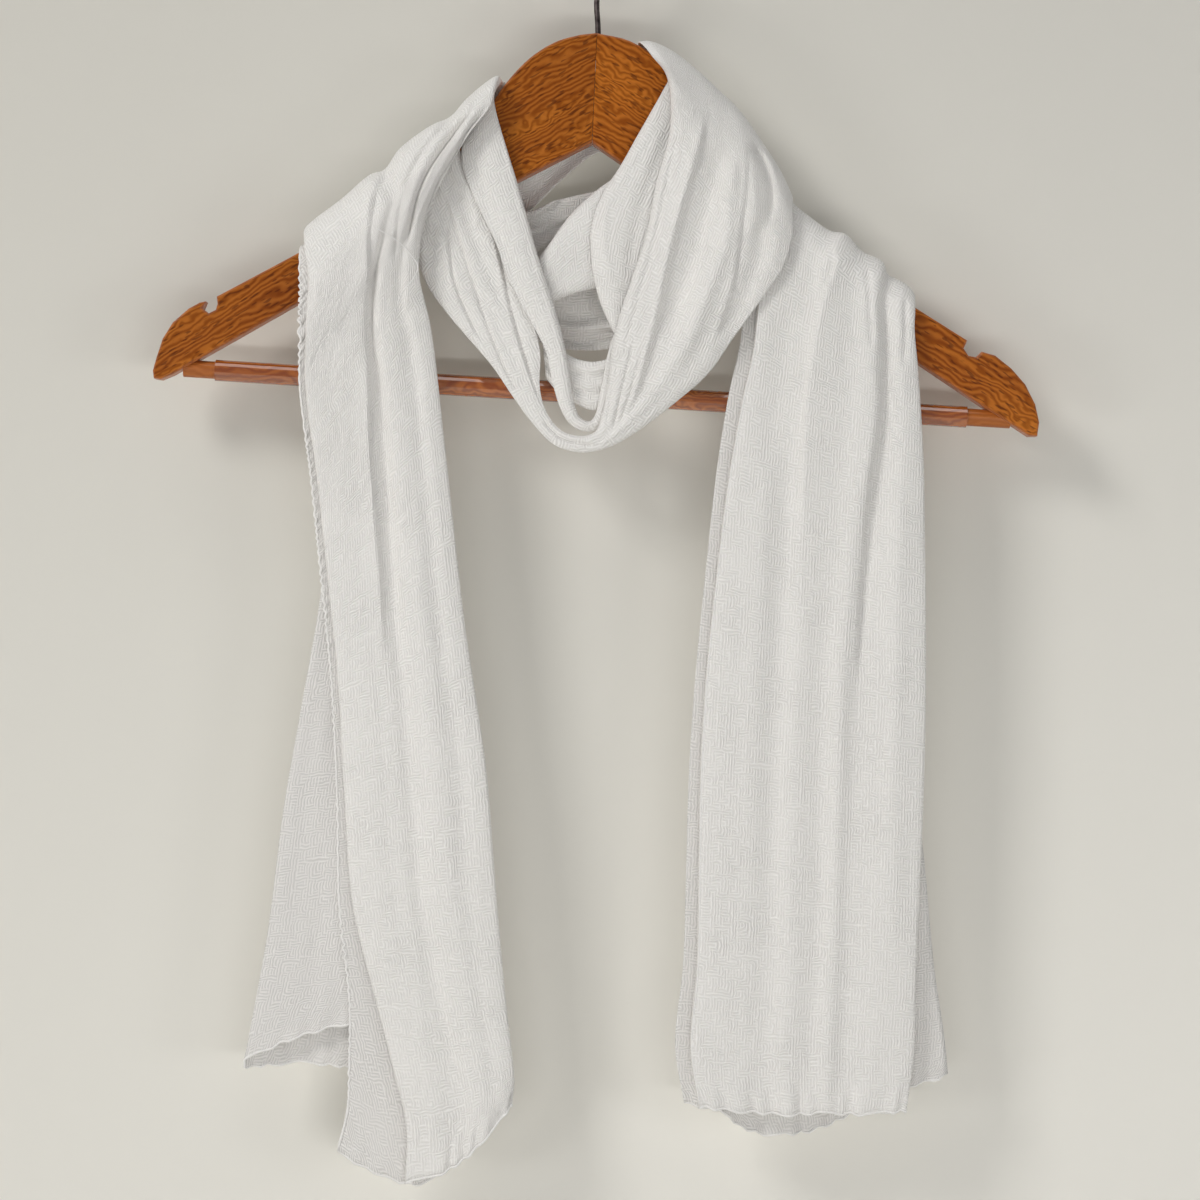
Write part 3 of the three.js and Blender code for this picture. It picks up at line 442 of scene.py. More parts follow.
# Band behind the neck that joins the front loop to the right tail
BACK_BAND_LOWER = {
    "levels": (0, 3, 5, 8),
    "stations": [
        station(-70, -147, -97, -168, 7.8, facing=180),
        station(-54, -158, -86, -186, 7.8, facing=180),
        station(-38, -167, -58, -213, 7.8, facing=180),
        station(-20, -161, -29, -233, 8, facing=180),
        station(-3, -157, -4, -237, 8, facing=180),
        station(18, -152, 24, -232, 8, facing=180),
        station(42, -152, 64, -218, 8, facing=180),
        station(62, -159, 108, -219, 8.2, facing=180),
        station(81, -168.6, 151, -230, 8.6, facing=180),
    ],
    "folds": [
        fold(0, (-0.2, -0.6, -0.6, -0.2)),
        fold((0.16, 0.14, 0.14, 0.16), (0.8, 2, 2, 0.8)),
        fold(0.32, 0),
        fold(0.5, (0.9, 2, 2, 1)),
        fold(0.68, 0),
        fold(0.8, (0.4, 1.6, 1.6, 0.4)),
        fold(0.86, (0, -0.4, -0.4, 0)),
        fold(0.93, (0.6, 1.8, 1.8, 0.6)),
        fold(1, (-0.2, -0.6, -0.6, -0.2)),
    ],
}


# Creases: paths seen from the front, in millimetres (x, z), with the folds that they lie between.
# A ridge stands up along its path, or sinks where its height is negative. A lap steps down from one ply on
# its left to the next on its right, or up where its height is negative. Paths run down; on the few that run
# right, left means below and right means above.

def ridge(path, width, height, between, right=None):
    return {"path": path, "left": width, "right": right or width, "height": height, "between": between,
            "is_lap": False}


def lap(path, left, right, height, between):
    return {"path": path, "left": left, "right": right, "height": height, "between": between,
            "is_lap": True}


LEFT_TAIL_CREASES = [
    lap([(-100, -144), (-106, -150), (-110, -159), (-113, -174), (-113, -214), (-113, -283), (-111, -313),
         (-108, -350), (-105, -400)], 3.0, 6.0, 1.9, (5, 12)),
    ridge([(-53, -116.8), (-62.6, -127.8), (-71.4, -143.2), (-78.7, -154.9), (-86, -174), (-89, -199)],
          1.2, -3.0, (7, 12)),
    ridge([(-56.7, -117), (-65.5, -127.8), (-74.3, -141), (-80.5, -150), (-88, -168), (-90, -186)],
          2.0, 1.6, (7, 12)),
    ridge([(-60.4, -118.3), (-68.4, -127.8), (-79, -142.4), (-87, -157), (-92, -172), (-94, -190)],
          1.1, -2.8, (7, 12)),
    ridge([(-64.5, -118), (-73, -127.5), (-84, -143), (-91, -160), (-95, -184)], 1.8, 1.5, (7, 12)),
    ridge([(-71, -121), (-82, -134), (-92, -150), (-98, -170), (-101, -200)], 1.3, -2.2, (7, 12)),
    ridge([(-106, -283), (-105, -313), (-103, -350), (-100, -400)], 5.0, -1.2, (5, 12)),
    ridge([(-128, -215), (-129, -260), (-127, -330), (-124, -420)], 5.0, 0.8, (5, 12)),
    ridge([(-92, -330), (-86, -400), (-80, -470), (-72, -540)], 7.0, 0.9, (5, 12)),
    ridge([(-112, -380), (-108, -450), (-102, -520), (-94, -590)], 6.0, -0.9, (5, 12)),
]

RIGHT_TAIL_CREASES = [
    lap([(117, -184), (118, -194), (111, -214), (106, -238), (103, -263), (101, -298), (101, -333)],
        5.0, 4.0, -1.7, (4, 12)),
    lap([(141, -203), (142, -229), (140, -273), (135, -303), (132, -338), (130, -363), (128, -413)],
        4.0, 6.0, 1.8, (4, 12)),
    ridge([(134, -197), (135, -214), (136, -240)], 1.6, -1.2, (4, 12)),
    ridge([(153, -211), (153, -229), (152, -250)], 1.6, -1.2, (4, 12)),
    ridge([(96, -214), (91, -248), (87, -300)], 6.0, -1.2, (4, 12)),
    ridge([(84, -290), (80, -360), (77, -440), (74, -520)], 7.0, 0.8, (4, 12)),
    ridge([(112, -360), (111, -430), (112, -510), (113, -580)], 6.0, -0.7, (4, 12)),
    ridge([(150, -300), (149, -380), (147, -470), (146, -560)], 4.5, 0.8, (4, 12)),
]

# The right band's second lap, seen as a pale thin edge with a long hollow on its right, and its third lap
SECOND_LAP = [(54, -118), (50.3, -138), (45.8, -152.7), (40.7, -171.7), (35.6, -190.8), (31.9, -208.4),
              (28.3, -225.9), (23.9, -242), (18, -262.6), (10.7, -277.2)]
THIRD_LAP = [(73, -134), (73.7, -152.7), (72.2, -167.3), (69.3, -187.9), (67.1, -205.4), (62, -223),
             (54.6, -242)]

# The edges of the two strips at the left of the loop
LEFT_STRIP_EDGE = [(-69.2, -145.4), (-59.6, -162.9), (-53.8, -173.2), (-49.4, -190.8), (-43.5, -218.6),
                   (-37.7, -239.1), (-31.8, -256.7), (-27.4, -269.9)]
FAR_LEFT_STRIP_EDGE = [(-75.8, -173.2), (-74.3, -187.8), (-71.4, -205.4), (-62.6, -225.9), (-56.7, -236.2)]

FRONT_LOOP_CREASES = [
    ridge([(38.5, -120.8), (33.7, -141.7), (28.1, -173.8), (24.1, -186.6), (17.7, -207.5), (8.8, -236.4)],
          1.6, 0.9, (0, 9)),
    ridge([(41.5, -123), (36.5, -145), (30.8, -172), (27.4, -187), (21.2, -210), (13.5, -238), (9, -262)],
          0.9, -0.8, (0, 9)),
    ridge(SECOND_LAP, 4.5, 1.8, (0, 9), right=1.4),
    lap(SECOND_LAP, 1.2, 3.0, 1.2, (0, 9)),
    ridge([(63, -135), (57, -157), (53.2, -170), (45.8, -196.6), (38.5, -218.6), (33, -238)],
          8.0, -3.2, (0, 9), right=5.0),
    ridge([(70, -138), (66.4, -152.7), (64.5, -171), (62.5, -188.7), (53.2, -211.3), (45.8, -233.3),
           (32.7, -255)], 4.0, 1.9, (0, 9)),
    lap(THIRD_LAP, 2.0, 4.0, 1.2, (0, 9)),
    ridge([(81, -173), (80.7, -188.7), (76.6, -202.5), (69.3, -220), (59, -236)], 5.0, -2.6, (0, 9)),
    ridge([(76, -136), (81.5, -142), (84.5, -149), (86.5, -157), (87, -167), (84, -180)], 3.2, -3.0, (0, 9),
          right=1.4),
    ridge([(74, -140), (76.5, -152), (77, -168), (75.5, -185)], 3.0, 1.4, (0, 9)),
    ridge(LEFT_STRIP_EDGE, 0.8, -1.4, (0, 9)),
    lap(LEFT_STRIP_EDGE, 2.4, 3.0, 1.3, (0, 9)),
    ridge([(-78.7, -157.1), (-69.9, -182), (-62.6, -204), (-55.2, -225.9), (-45, -250.8), (-34.7, -267)],
          0.9, -1.5, (0, 9)),
    ridge(FAR_LEFT_STRIP_EDGE, 0.9, -1.6, (0, 9)),
    lap(FAR_LEFT_STRIP_EDGE, 2.4, 3.0, 0.6, (0, 9)),
    ridge([(-28, -273), (-19, -282), (-9, -285), (0, -286), (4, -282)], 0.9, -1.4, (0, 9)),
    ridge([(11, -238), (7, -258), (4, -278)], 0.9, -1.0, (0, 9)),
    ridge([(18, -234), (12, -258), (7, -281)], 0.9, -1.1, (0, 9)),
    ridge([(22, -240), (16, -260), (9, -280)], 0.8, -0.9, (0, 9)),
]

INNER_CREASES = [
    lap([(-50, -125), (-44, -150), (-37, -176), (-29, -205), (-20, -236), (-14, -262)],
        1.4, 2.0, -0.5, (0, 4)),
    ridge([(-64, -139), (-54, -168), (-46, -190), (-38, -214), (-27, -238), (-20, -256)],
          2.6, -1.0, (0, 4)),
]

NECK_BAND_CREASES = [
    ridge([(31, -114), (23, -134), (13, -150), (5, -165), (3, -186), (8, -210)], 2.0, 0.7, (0, 4)),
    ridge([(37, -122), (30, -143), (22, -163), (17, -185), (14, -208)], 3.0, -0.9, (0, 4)),
    ridge([(42, -133), (36, -153), (30, -172), (25, -192)], 2.4, 0.6, (0, 4)),
]

# Seen from its inside, through the neck opening: strands that lie over one another
BACK_BAND_CREASES = [
    lap([(-60, -180), (-40, -175), (-34.7, -171), (-26, -166.5), (-17, -159), (-5, -156), (20, -154),
         (50, -157)], 1.8, 5.0, 2.4, (0, 8)),
    lap([(-64, -188), (-42, -182), (-33.3, -178.3), (-22, -174), (-12.8, -170.3), (10, -167), (45, -168),
         (72, -174)], 1.6, 4.0, 2.2, (0, 8)),
    lap([(-60, -195), (-40, -190), (-31.1, -187.1), (-20.1, -180.5), (0, -177), (40, -181), (78, -188)],
        1.6, 4.0, 2.0, (0, 8)),
    lap([(-52, -202), (-38, -197), (-28, -194), (-14, -190), (10, -188), (50, -196)], 1.6, 3.0, 1.6, (0, 8)),
    lap([(-46, -212), (-30, -221), (-16, -226), (-4, -227), (20, -224), (50, -212)], 1.2, 3.0, 1.6, (0, 8)),
    lap([(-42, -216), (-30, -226), (-16, -231), (-4, -232), (20, -229), (48, -218)], 1.2, 2.5, 1.4, (0, 8)),
]

LEFT_FAN_CREASES = [
    ridge([(-140, -330), (-146, -400), (-154, -470), (-160, -540)], 5.0, 0.9, (0, 3)),
    ridge([(-130, -400), (-134, -460), (-140, -530), (-146, -590)], 5.0, -0.9, (0, 3)),
]


def eased_levels(values, levels, count):
    """A fold's value at every station, eased between its four named stations."""
    eased = []
    for index in range(count):
        span = 0
        while span < 2 and index > levels[span + 1]:
            span += 1
        share = (index - levels[span]) / (levels[span + 1] - levels[span])
        share = min(1.0, max(0.0, share))
        share = share * share * (3 - 2 * share)
        eased.append(values[span] + (values[span + 1] - values[span]) * share)
    return eased


def fold_points(stretch, line):
    """The points that one fold passes through, a point per station."""
    count = len(stretch["stations"])
    across, height, drop = (
        eased_levels(line[key], stretch["levels"], count) for key in ("across", "height", "drop")
    )
    points = []
    for index, place in enumerate(stretch["stations"]):
        share = across[index]
        facing = math.radians(place["facing"])
        run = place["bx"] - place["ax"]
        fall = place["bz"] - place["az"]
        sag = place["sag"] * 4 * share * (1 - share)
        lift = height[index] * math.sin(facing) / math.hypot(run, fall)
        points.append((
            place["ax"] + run * share - fall * lift * math.copysign(1, run),
            place["y"] - height[index] * math.cos(facing),
            place["az"] + fall * share + abs(run) * lift - sag - drop[index],
        ))
    return np.array(points)


def smooth_through(points, steps):
    """Samples of the centripetal curve through points, with steps[i] samples on its span i."""
    first = 2 * points[:1] - points[1:2]
    last = 2 * points[-1:] - points[-2:-1]
    padded = np.concatenate([first, points, last])
    gaps = np.sqrt(np.linalg.norm(np.diff(padded, axis=0), axis=-1, keepdims=True))
    gaps = np.maximum(gaps, SMALLEST_GAP)
    samples = []
    for span, count in enumerate(steps):
        before, start, end, after = padded[span:span + 4]
        gap_before, gap, gap_after = gaps[span:span + 3]
        leave = (start - before) / gap_before - (end - before) / (gap_before + gap) + (end - start) / gap
        arrive = (end - start) / gap - (after - start) / (gap + gap_after) + (after - end) / gap_after
        leave = leave * gap
        arrive = arrive * gap
        for step in range(count):
            t = step / count
            samples.append(
                start + leave * t
                + (3 * (end - start) - 2 * leave - arrive) * t ** 2
                + (2 * (start - end) + leave + arrive) * t ** 3
            )
    samples.append(points[-1])
    return np.array(samples)


def steps_for(points, cell):
    """Steps on each span of a curve, or of several side by side. cell is a size, or one for each span."""
    lengths = np.linalg.norm(np.diff(points, axis=0), axis=-1)
    lengths = lengths.reshape(len(lengths), -1).mean(axis=1)
    return [max(1, int(round(steps))) for steps in lengths / cell]


def middle_surface(stretch, cell, coarse=None):
    """The cloth's surface as rows of points along it, and each column's place among its folds.
    coarse gives a station and the cell's length from it onwards."""
    guides = np.array([fold_points(stretch, line) for line in stretch["folds"]])
    guides = guides.transpose(1, 0, 2)
    cells = np.full(len(guides) - 1, float(cell))
    if coarse is not None:
        cells[coarse[0]:] = coarse[1]
    rows = smooth_through(guides, steps_for(guides, cells))
    across = rows.transpose(1, 0, 2)
    steps = steps_for(across, cell)
    surface = smooth_through(across, steps).transpose(1, 0, 2)
    places = [index + step / count for index, count in enumerate(steps) for step in range(count)]
    return surface, np.array([*places, len(steps)])


def flat_places(surface):
    """Where each point lay on the flat cloth, in metres across and along."""
    across = np.zeros(surface.shape[:2])
    along = np.zeros(surface.shape[:2])
    across[:, 1:] = np.cumsum(np.linalg.norm(np.diff(surface, axis=1), axis=-1), axis=1)
    steps = np.linalg.norm(np.diff(surface, axis=0), axis=-1).mean(axis=1)
    along[1:] = np.cumsum(steps)[:, None]
    middle = surface.shape[1] // 2
    across -= across[:, middle:middle + 1]
    return np.stack([across, along], axis=-1) * MM


def from_path(surface, path):
    """Each point's distance from a path seen from the front, its side of it, and its share of the path."""
    corners = fine_path(path, PATH_SPACING)
    flat = surface[..., [0, 2]]
    lengths = np.linalg.norm(np.diff(corners, axis=0), axis=1)
    nearest = np.full(flat.shape[:2], 1e9)
    side = np.ones(flat.shape[:2])
    share = np.zeros(flat.shape[:2])
    passed = 0.0
    for start, end, length in zip(corners[:-1], corners[1:], lengths):
        direction = (end - start) / length
        offset = flat - start
        reach = np.clip(offset @ direction, 0, length)
        gap = np.linalg.norm(offset - reach[..., None] * direction, axis=-1)
        turn = offset[..., 0] * direction[1] - offset[..., 1] * direction[0]
        closer = gap < nearest
        nearest = np.where(closer, gap, nearest)
        side = np.where(closer, np.sign(turn), side)
        share = np.where(closer, (passed + reach) / lengths.sum(), share)
        passed += length
    return nearest, side, share


def eased(values, start, end):
    share = np.clip((values - start) / (end - start), 0, 1)
    return share * share * (3 - 2 * share)


def add_creases(surface, places, creases, outward):
    """Moves the named plies in or out along each crease."""
    for crease in creases:
        gap, side, share = from_path(surface, crease["path"])
        # the right of a path that runs down, or the upper side of one that runs right, is its negative side
        width = np.where(side < 0, crease["right"], crease["left"])
        if crease["is_lap"]:
            profile = np.tanh(side * gap / STEP_WIDTH) * np.exp(-gap / width)
        else:
            profile = np.exp(-(gap / width) ** 2)
        fade = eased(share, 0.0, FADE_IN) * (1 - eased(share, FADE_OUT, 1.0))
        first, last = crease["between"]
        ply = eased(places, first - PLY_EASE, first + PLY_EASE)
        ply *= 1 - eased(places, last - PLY_EASE, last + PLY_EASE)
        surface[..., 1] += outward * crease["height"] * profile * fade * ply[None, :]


def add_ripples(surface, flat, amount, seed, outward):
    """Soft uneven waves that run down the cloth."""
    waves = np.empty(flat.shape[:2])
    for row in range(flat.shape[0]):
        for column in range(flat.shape[1]):
            u, v = flat[row, column]
            broad = noise.noise(Vector((u * BROAD_RIPPLES[0], v * BROAD_RIPPLES[1], seed)))
            narrow = noise.noise(Vector((u * NARROW_RIPPLES[0], v * NARROW_RIPPLES[1], seed + 7)))
            waves[row, column] = broad + NARROW_SHARE * narrow
    surface[..., 1] += outward * amount * waves


def add_scallops(surface, reach, amount, seed):
    """Uneven picots along the first edge, biggest at the edge itself and gone after reach columns."""
    falloff = 1 - eased(np.arange(surface.shape[1]), 0, reach)
    along = np.cumsum(np.r_[0, np.linalg.norm(np.diff(surface[:, 0], axis=0), axis=-1)])
    for row, distance in enumerate(along):
        wander = noise.noise(Vector((distance * HEM_WANDER, seed, 0)))
        patch = max(0.0, 0.5 + 1.5 * noise.noise(Vector((distance * PICOT_PATCHES, seed, 5))))
        turn = 2 * math.pi * distance / SCALLOP_PITCH + 9 * wander
        surface[row, :, 0] += falloff * amount * patch * math.sin(turn)
        surface[row, :, 1] += falloff * amount * patch * 0.8 * math.cos(0.8 * turn)


def add_hem_waves(surface, depth, amount, pitch, seed):
    """Small uneven waves in the bottom hem."""
    count = surface.shape[0]
    rows = np.arange(count)
    falloff = eased(rows, count - 1 - depth, count - 1)
    along = np.cumsum(np.r_[0, np.linalg.norm(np.diff(surface[-1], axis=0), axis=-1)])
    for column, distance in enumerate(along):
        wander = noise.noise(Vector((distance * HEM_WANDER, seed, 2)))
        swing = math.sin(2 * math.pi * distance / pitch + 6 * wander)
        lift = noise.noise(Vector((distance * HEM_LIFT, seed, 9)))
        surface[:, column, 1] += falloff * amount * swing
        surface[:, column, 2] += falloff * amount * (0.8 * swing + 2.0 * lift)


# Meshes

def new_piece(name, mesh, *materials):
    """A smooth object at the origin."""
    piece = bpy.data.objects.new(name, mesh)
    bpy.context.scene.collection.objects.link(piece)
    for material in materials:
        mesh.materials.append(material)
    mesh.shade_smooth()
    return piece


def grid_mesh(name, rows, columns):
    """A grid whose vertices run column by column along each row, with a UV map."""
    mesh = bpy.data.meshes.new(name)
    bm = bmesh.new()
    bm.loops.layers.uv.new("flat_cloth")
    bmesh.ops.create_grid(bm, x_segments=columns - 1, y_segments=rows - 1, size=0.5, calc_uvs=True)
    bm.to_mesh(mesh)
    bm.free()
    return mesh


def place_grid(mesh, surface, flat):
    """Moves a grid's vertices onto a surface given in millimetres, and sets its UV map.
    Returns each vertex's column."""
    rows, columns = surface.shape[:2]
    corners = np.empty(len(mesh.vertices) * 3)
    mesh.vertices.foreach_get("co", corners)
    corners = corners.reshape(-1, 3)
    column = np.rint((corners[:, 0] + 0.5) * (columns - 1)).astype(int)
    row = np.rint((corners[:, 1] + 0.5) * (rows - 1)).astype(int)
    mesh.vertices.foreach_set("co", (surface[row, column] * MM).ravel())
    loops = np.empty(len(mesh.loops), dtype=int)
    mesh.loops.foreach_get("vertex_index", loops)
    mesh.uv_layers[0].data.foreach_set("uv", flat[row, column][loops].ravel())
    mesh.update()
    return column


def cloth_piece(name, surface, sheer):
    """A thin sheet with the surface in its middle. sheer tells, for each column, whether it is a lone ply."""
    rows, columns = surface.shape[:2]
    mesh = grid_mesh(name, rows, columns)
    column = place_grid(mesh, surface, flat_places(surface))
    for face in mesh.polygons:
        face.material_index = int(all(sheer[column[corner]] for corner in face.vertices))
    piece = new_piece(name, mesh, CREPE, SHEER_CREPE)
    wall = piece.modifiers.new("wall", "SOLIDIFY")
    wall.thickness = CLOTH_THICKNESS * MM
    wall.offset = 0.0
    wall.use_even_offset = False
    return piece


def cord_piece(name, path, radius, material):
    """A rolled edge or thread: a round cord along a path in millimetres, with closed round ends."""
    path = np.array(path, dtype=float)
    count = len(path)
    ahead = np.gradient(path, axis=0)
    ahead /= np.linalg.norm(ahead, axis=1)[:, None]
    reference = np.array([0.0, 1.0, 0.0])
    side = np.cross(ahead, reference)
    side /= np.maximum(np.linalg.norm(side, axis=1), 1e-6)[:, None]
    up = np.cross(side, ahead)
    girth = np.full(count, float(radius))
    girth[:CORD_END_ROWS] = radius * np.sin(np.linspace(0, math.pi / 2, CORD_END_ROWS + 1))[:-1]
    girth[-CORD_END_ROWS:] = girth[:CORD_END_ROWS][::-1]
    turns = np.linspace(0, 2 * math.pi, CORD_SIDES + 1)
    ring = np.cos(turns)[None, :, None] * side[:, None, :] + np.sin(turns)[None, :, None] * up[:, None, :]
    surface = path[:, None, :] + ring * girth[:, None, None]
    flat = np.zeros((count, CORD_SIDES + 1, 2))
    flat[..., 1] = np.cumsum(np.r_[0, np.linalg.norm(np.diff(path, axis=0), axis=1)])[:, None] * MM
    flat[..., 0] = turns[None, :] * radius * MM
    mesh = grid_mesh(name, count, CORD_SIDES + 1)
    place_grid(mesh, surface, flat)
    bm = bmesh.new()
    bm.from_mesh(mesh)
    bmesh.ops.remove_doubles(bm, verts=bm.verts, dist=MERGE_DISTANCE * MM)
    bmesh.ops.recalc_face_normals(bm, faces=bm.faces)
    bm.to_mesh(mesh)
    bm.free()
    return new_piece(name, mesh, material)


def fine_path(points, spacing=1.0):
    """A smooth path through given points."""
    points = np.array(points, dtype=float)
    return smooth_through(points, steps_for(points[:, None, :], spacing))


# Materials

def node_group(name, inputs, outputs):
    """A shader group with named sockets: inputs are (name, kind, value) and outputs (name, kind)."""
    group = bpy.data.node_groups.new(name, "ShaderNodeTree")
    for title, kind, value in inputs:
        socket = group.interface.new_socket(title, in_out="INPUT", socket_type=kind)
        if value is not None:
            socket.default_value = value
    for title, kind in outputs:
        group.interface.new_socket(title, in_out="OUTPUT", socket_type=kind)
    entry = group.nodes.new("NodeGroupInput")
    leave = group.nodes.new("NodeGroupOutput")
    return group, entry, leave


def math_node(tree, operation, *values, clamp=False):
    node = tree.nodes.new("ShaderNodeMath")
    node.operation = operation
    node.use_clamp = clamp
    for socket, value in zip(node.inputs, values):
        if isinstance(value, (int, float)):
            socket.default_value = value
        else:
            tree.links.new(value, socket)
    return node.outputs[0]


def scaled(tree, vector, scale):
    node = tree.nodes.new("ShaderNodeVectorMath")
    node.operation = "MULTIPLY"
    tree.links.new(vector, node.inputs[0])
    node.inputs[1].default_value = scale
    return node.outputs[0]


def noise_node(tree, vector, scale, detail, distortion=0.0):
    node = tree.nodes.new("ShaderNodeTexNoise")
    node.inputs["Scale"].default_value = scale
    node.inputs["Detail"].default_value = detail
    node.inputs["Distortion"].default_value = distortion
    tree.links.new(vector, node.inputs["Vector"])
    return node.outputs["Fac"]


def colour_mix(tree, factor, first, second):
    node = tree.nodes.new("ShaderNodeMix")
    node.data_type = "RGBA"
    node.clamp_factor = True
    if isinstance(factor, (int, float)):
        node.inputs[0].default_value = factor
    else:
        tree.links.new(factor, node.inputs[0])
    for socket, value in ((node.inputs[6], first), (node.inputs[7], second)):
        if isinstance(value, tuple):
            socket.default_value = (*value, 1.0)
        else:
            tree.links.new(value, socket)
    return node.outputs[2]


def ramp(tree, factor, *stops):
    node = tree.nodes.new("ShaderNodeValToRGB")
    elements = node.color_ramp.elements
    for index, (position, colour) in enumerate(stops):
        element = elements[index] if index < 2 else elements.new(position)
        element.position = position
        element.color = (*colour, 1.0)
    tree.links.new(factor, node.inputs["Fac"])
    return node.outputs["Color"]


def make_crinkle_group():
    """The crepe's short winding ridges along and across its threads. Place is the flat cloth, in metres."""
    group, entry, leave = node_group(
        "crepe_crinkle",
        [("Place", "NodeSocketVector", None), ("Pitch", "NodeSocketFloat", 1.5)],
        [("Height", "NodeSocketFloat")],
    )
    place = entry.outputs["Place"]
    parts = group.nodes.new("ShaderNodeSeparateXYZ")
    group.links.new(place, parts.inputs[0])
    turns_per_metre = math_node(group, "DIVIDE", 2 * math.pi * 1000, entry.outputs["Pitch"])
    wander = noise_node(group, place, scale=150.0, detail=1.0)
    shift = noise_node(group, scaled(group, place, (-1.0, 1.0, 1.0)), scale=210.0, detail=1.0)

    def winding_ridges(distance, noise_field, swing):
        phase = math_node(group, "MULTIPLY", distance, turns_per_metre)
        phase = math_node(group, "ADD", phase, math_node(group, "MULTIPLY", noise_field, swing))
        return math_node(group, "SINE", phase)

    # each small patch shows either the ridges that lie across the cloth or those that run along it
    across = winding_ridges(parts.outputs["Y"], wander, swing=13.0)
    along = winding_ridges(parts.outputs["X"], shift, swing=9.5)
    turn = math_node(group, "SUBTRACT", shift, 0.47)
    turn = math_node(group, "MULTIPLY", turn, 9.0, clamp=True)
    back = math_node(group, "SUBTRACT", 1.0, turn)
    ridges = math_node(group, "ADD", math_node(group, "MULTIPLY", across, turn),
                       math_node(group, "MULTIPLY", along, back))
    patches = noise_node(group, place, scale=36.0, detail=1.0)
    strength = math_node(group, "MULTIPLY_ADD", patches, 0.9, 0.4, clamp=True)
    ridges = math_node(group, "MULTIPLY", ridges, strength)
    group.links.new(math_node(group, "MULTIPLY_ADD", ridges, 0.5, 0.5), leave.inputs["Height"])
    return group


def make_grain_group():
    """Hardwood grain that runs along X of Place, in metres, with curls where the wood is figured."""
    group, entry, leave = node_group(
        "wood_grain",
        [("Place", "NodeSocketVector", None), ("Pitch", "NodeSocketFloat", 2.7)],
        [("Bands", "NodeSocketFloat"), ("Lines", "NodeSocketFloat"), ("Pores", "NodeSocketFloat")],
    )
    place = entry.outputs["Place"]
    parts = group.nodes.new("ShaderNodeSeparateXYZ")
    group.links.new(place, parts.inputs[0])
    bands = noise_node(group, scaled(group, place, (0.2, 1.0, 1.0)), scale=55.0, detail=2.0, distortion=0.6)
    wander = noise_node(group, scaled(group, place, (0.5, 1.0, 1.0)), scale=70.0, detail=1.0)
    figure = noise_node(group, scaled(group, place, (0.8, 1.0, 1.0)), scale=210.0, detail=1.0)
    curl = math_node(group, "SUBTRACT", bands, 0.40)
    curl = math_node(group, "MULTIPLY", curl, 95.0)
    curl = math_node(group, "MAXIMUM", curl, 5.0)
    figure = math_node(group, "MULTIPLY", figure, curl)
    turns_per_metre = math_node(group, "DIVIDE", 2 * math.pi * 1000, entry.outputs["Pitch"])
    phase = math_node(group, "MULTIPLY", parts.outputs["Z"], turns_per_metre)
    phase = math_node(group, "ADD", phase, math_node(group, "MULTIPLY", wander, 34.0))
    phase = math_node(group, "ADD", phase, figure)
    lines = math_node(group, "MULTIPLY_ADD", math_node(group, "SINE", phase), 0.5, 0.5)
    pores = noise_node(group, scaled(group, place, (0.2, 1.0, 1.0)), scale=1100.0, detail=0.0)
    pores = math_node(group, "SUBTRACT", pores, 0.62)
    pores = math_node(group, "MULTIPLY", pores, 9.0, clamp=True)
    group.links.new(bands, leave.inputs["Bands"])
    group.links.new(lines, leave.inputs["Lines"])
    group.links.new(pores, leave.inputs["Pores"])
    return group


def new_material(name):
    material = bpy.data.materials.new(name)
    material.use_nodes = True
    tree = material.node_tree
    return material, tree, tree.nodes["Principled BSDF"]


def put_group(tree, group):
    node = tree.nodes.new("ShaderNodeGroup")
    node.node_tree = group
    return node


def add_bump(tree, shader, height, distance, strength=1.0):
    bump = tree.nodes.new("ShaderNodeBump")
    bump.inputs["Strength"].default_value = strength
    bump.inputs["Distance"].default_value = distance
    tree.links.new(height, bump.inputs["Height"])
    tree.links.new(bump.outputs["Normal"], shader.inputs["Normal"])


def cloth_material(name, light, shade, relief, cover=1.0):
    """White crepe, its crinkle's hollows painted darker and its ridges lighter as painted shade and
    highlight. cover is the share of the light that one face of it stops.
    """
    material, tree, shader = new_material(name)
    shader.inputs["Roughness"].default_value = 0.8
    shader.inputs["Specular IOR Level"].default_value = 0.3
    shader.inputs["Sheen Weight"].default_value = 0.2
    shader.inputs["Sheen Roughness"].default_value = 0.5
    flat = tree.nodes.new("ShaderNodeUVMap")
    crinkle = put_group(tree, CRINKLE)
    tree.links.new(flat.outputs["UV"], crinkle.inputs["Place"])
    height = crinkle.outputs["Height"]
    # painted shade and highlight: the colour is darker in the crinkle's hollows and lighter on its ridges
    tree.links.new(colour_mix(tree, height, shade, light), shader.inputs["Base Color"])
    if cover < 1:
        open_share = math_node(tree, "SUBTRACT", 1.2, height)
        open_share = math_node(tree, "MULTIPLY", open_share, 1.4 * (1 - cover))
        tree.links.new(math_node(tree, "SUBTRACT", 1.0, open_share, clamp=True), shader.inputs["Alpha"])
    add_bump(tree, shader, height, relief * MM)
    return material


def grain_at(tree, turn):
    """The grain group, placed by the object's own axes and turned to run along the part."""
    place = tree.nodes.new("ShaderNodeTexCoord")
    turned = tree.nodes.new("ShaderNodeVectorRotate")
    turned.rotation_type = "Y_AXIS"
    turned.inputs["Angle"].default_value = math.radians(turn)
    tree.links.new(place.outputs["Object"], turned.inputs["Vector"])
    grain = put_group(tree, GRAIN)
    tree.links.new(turned.outputs["Vector"], grain.inputs["Place"])
    return grain


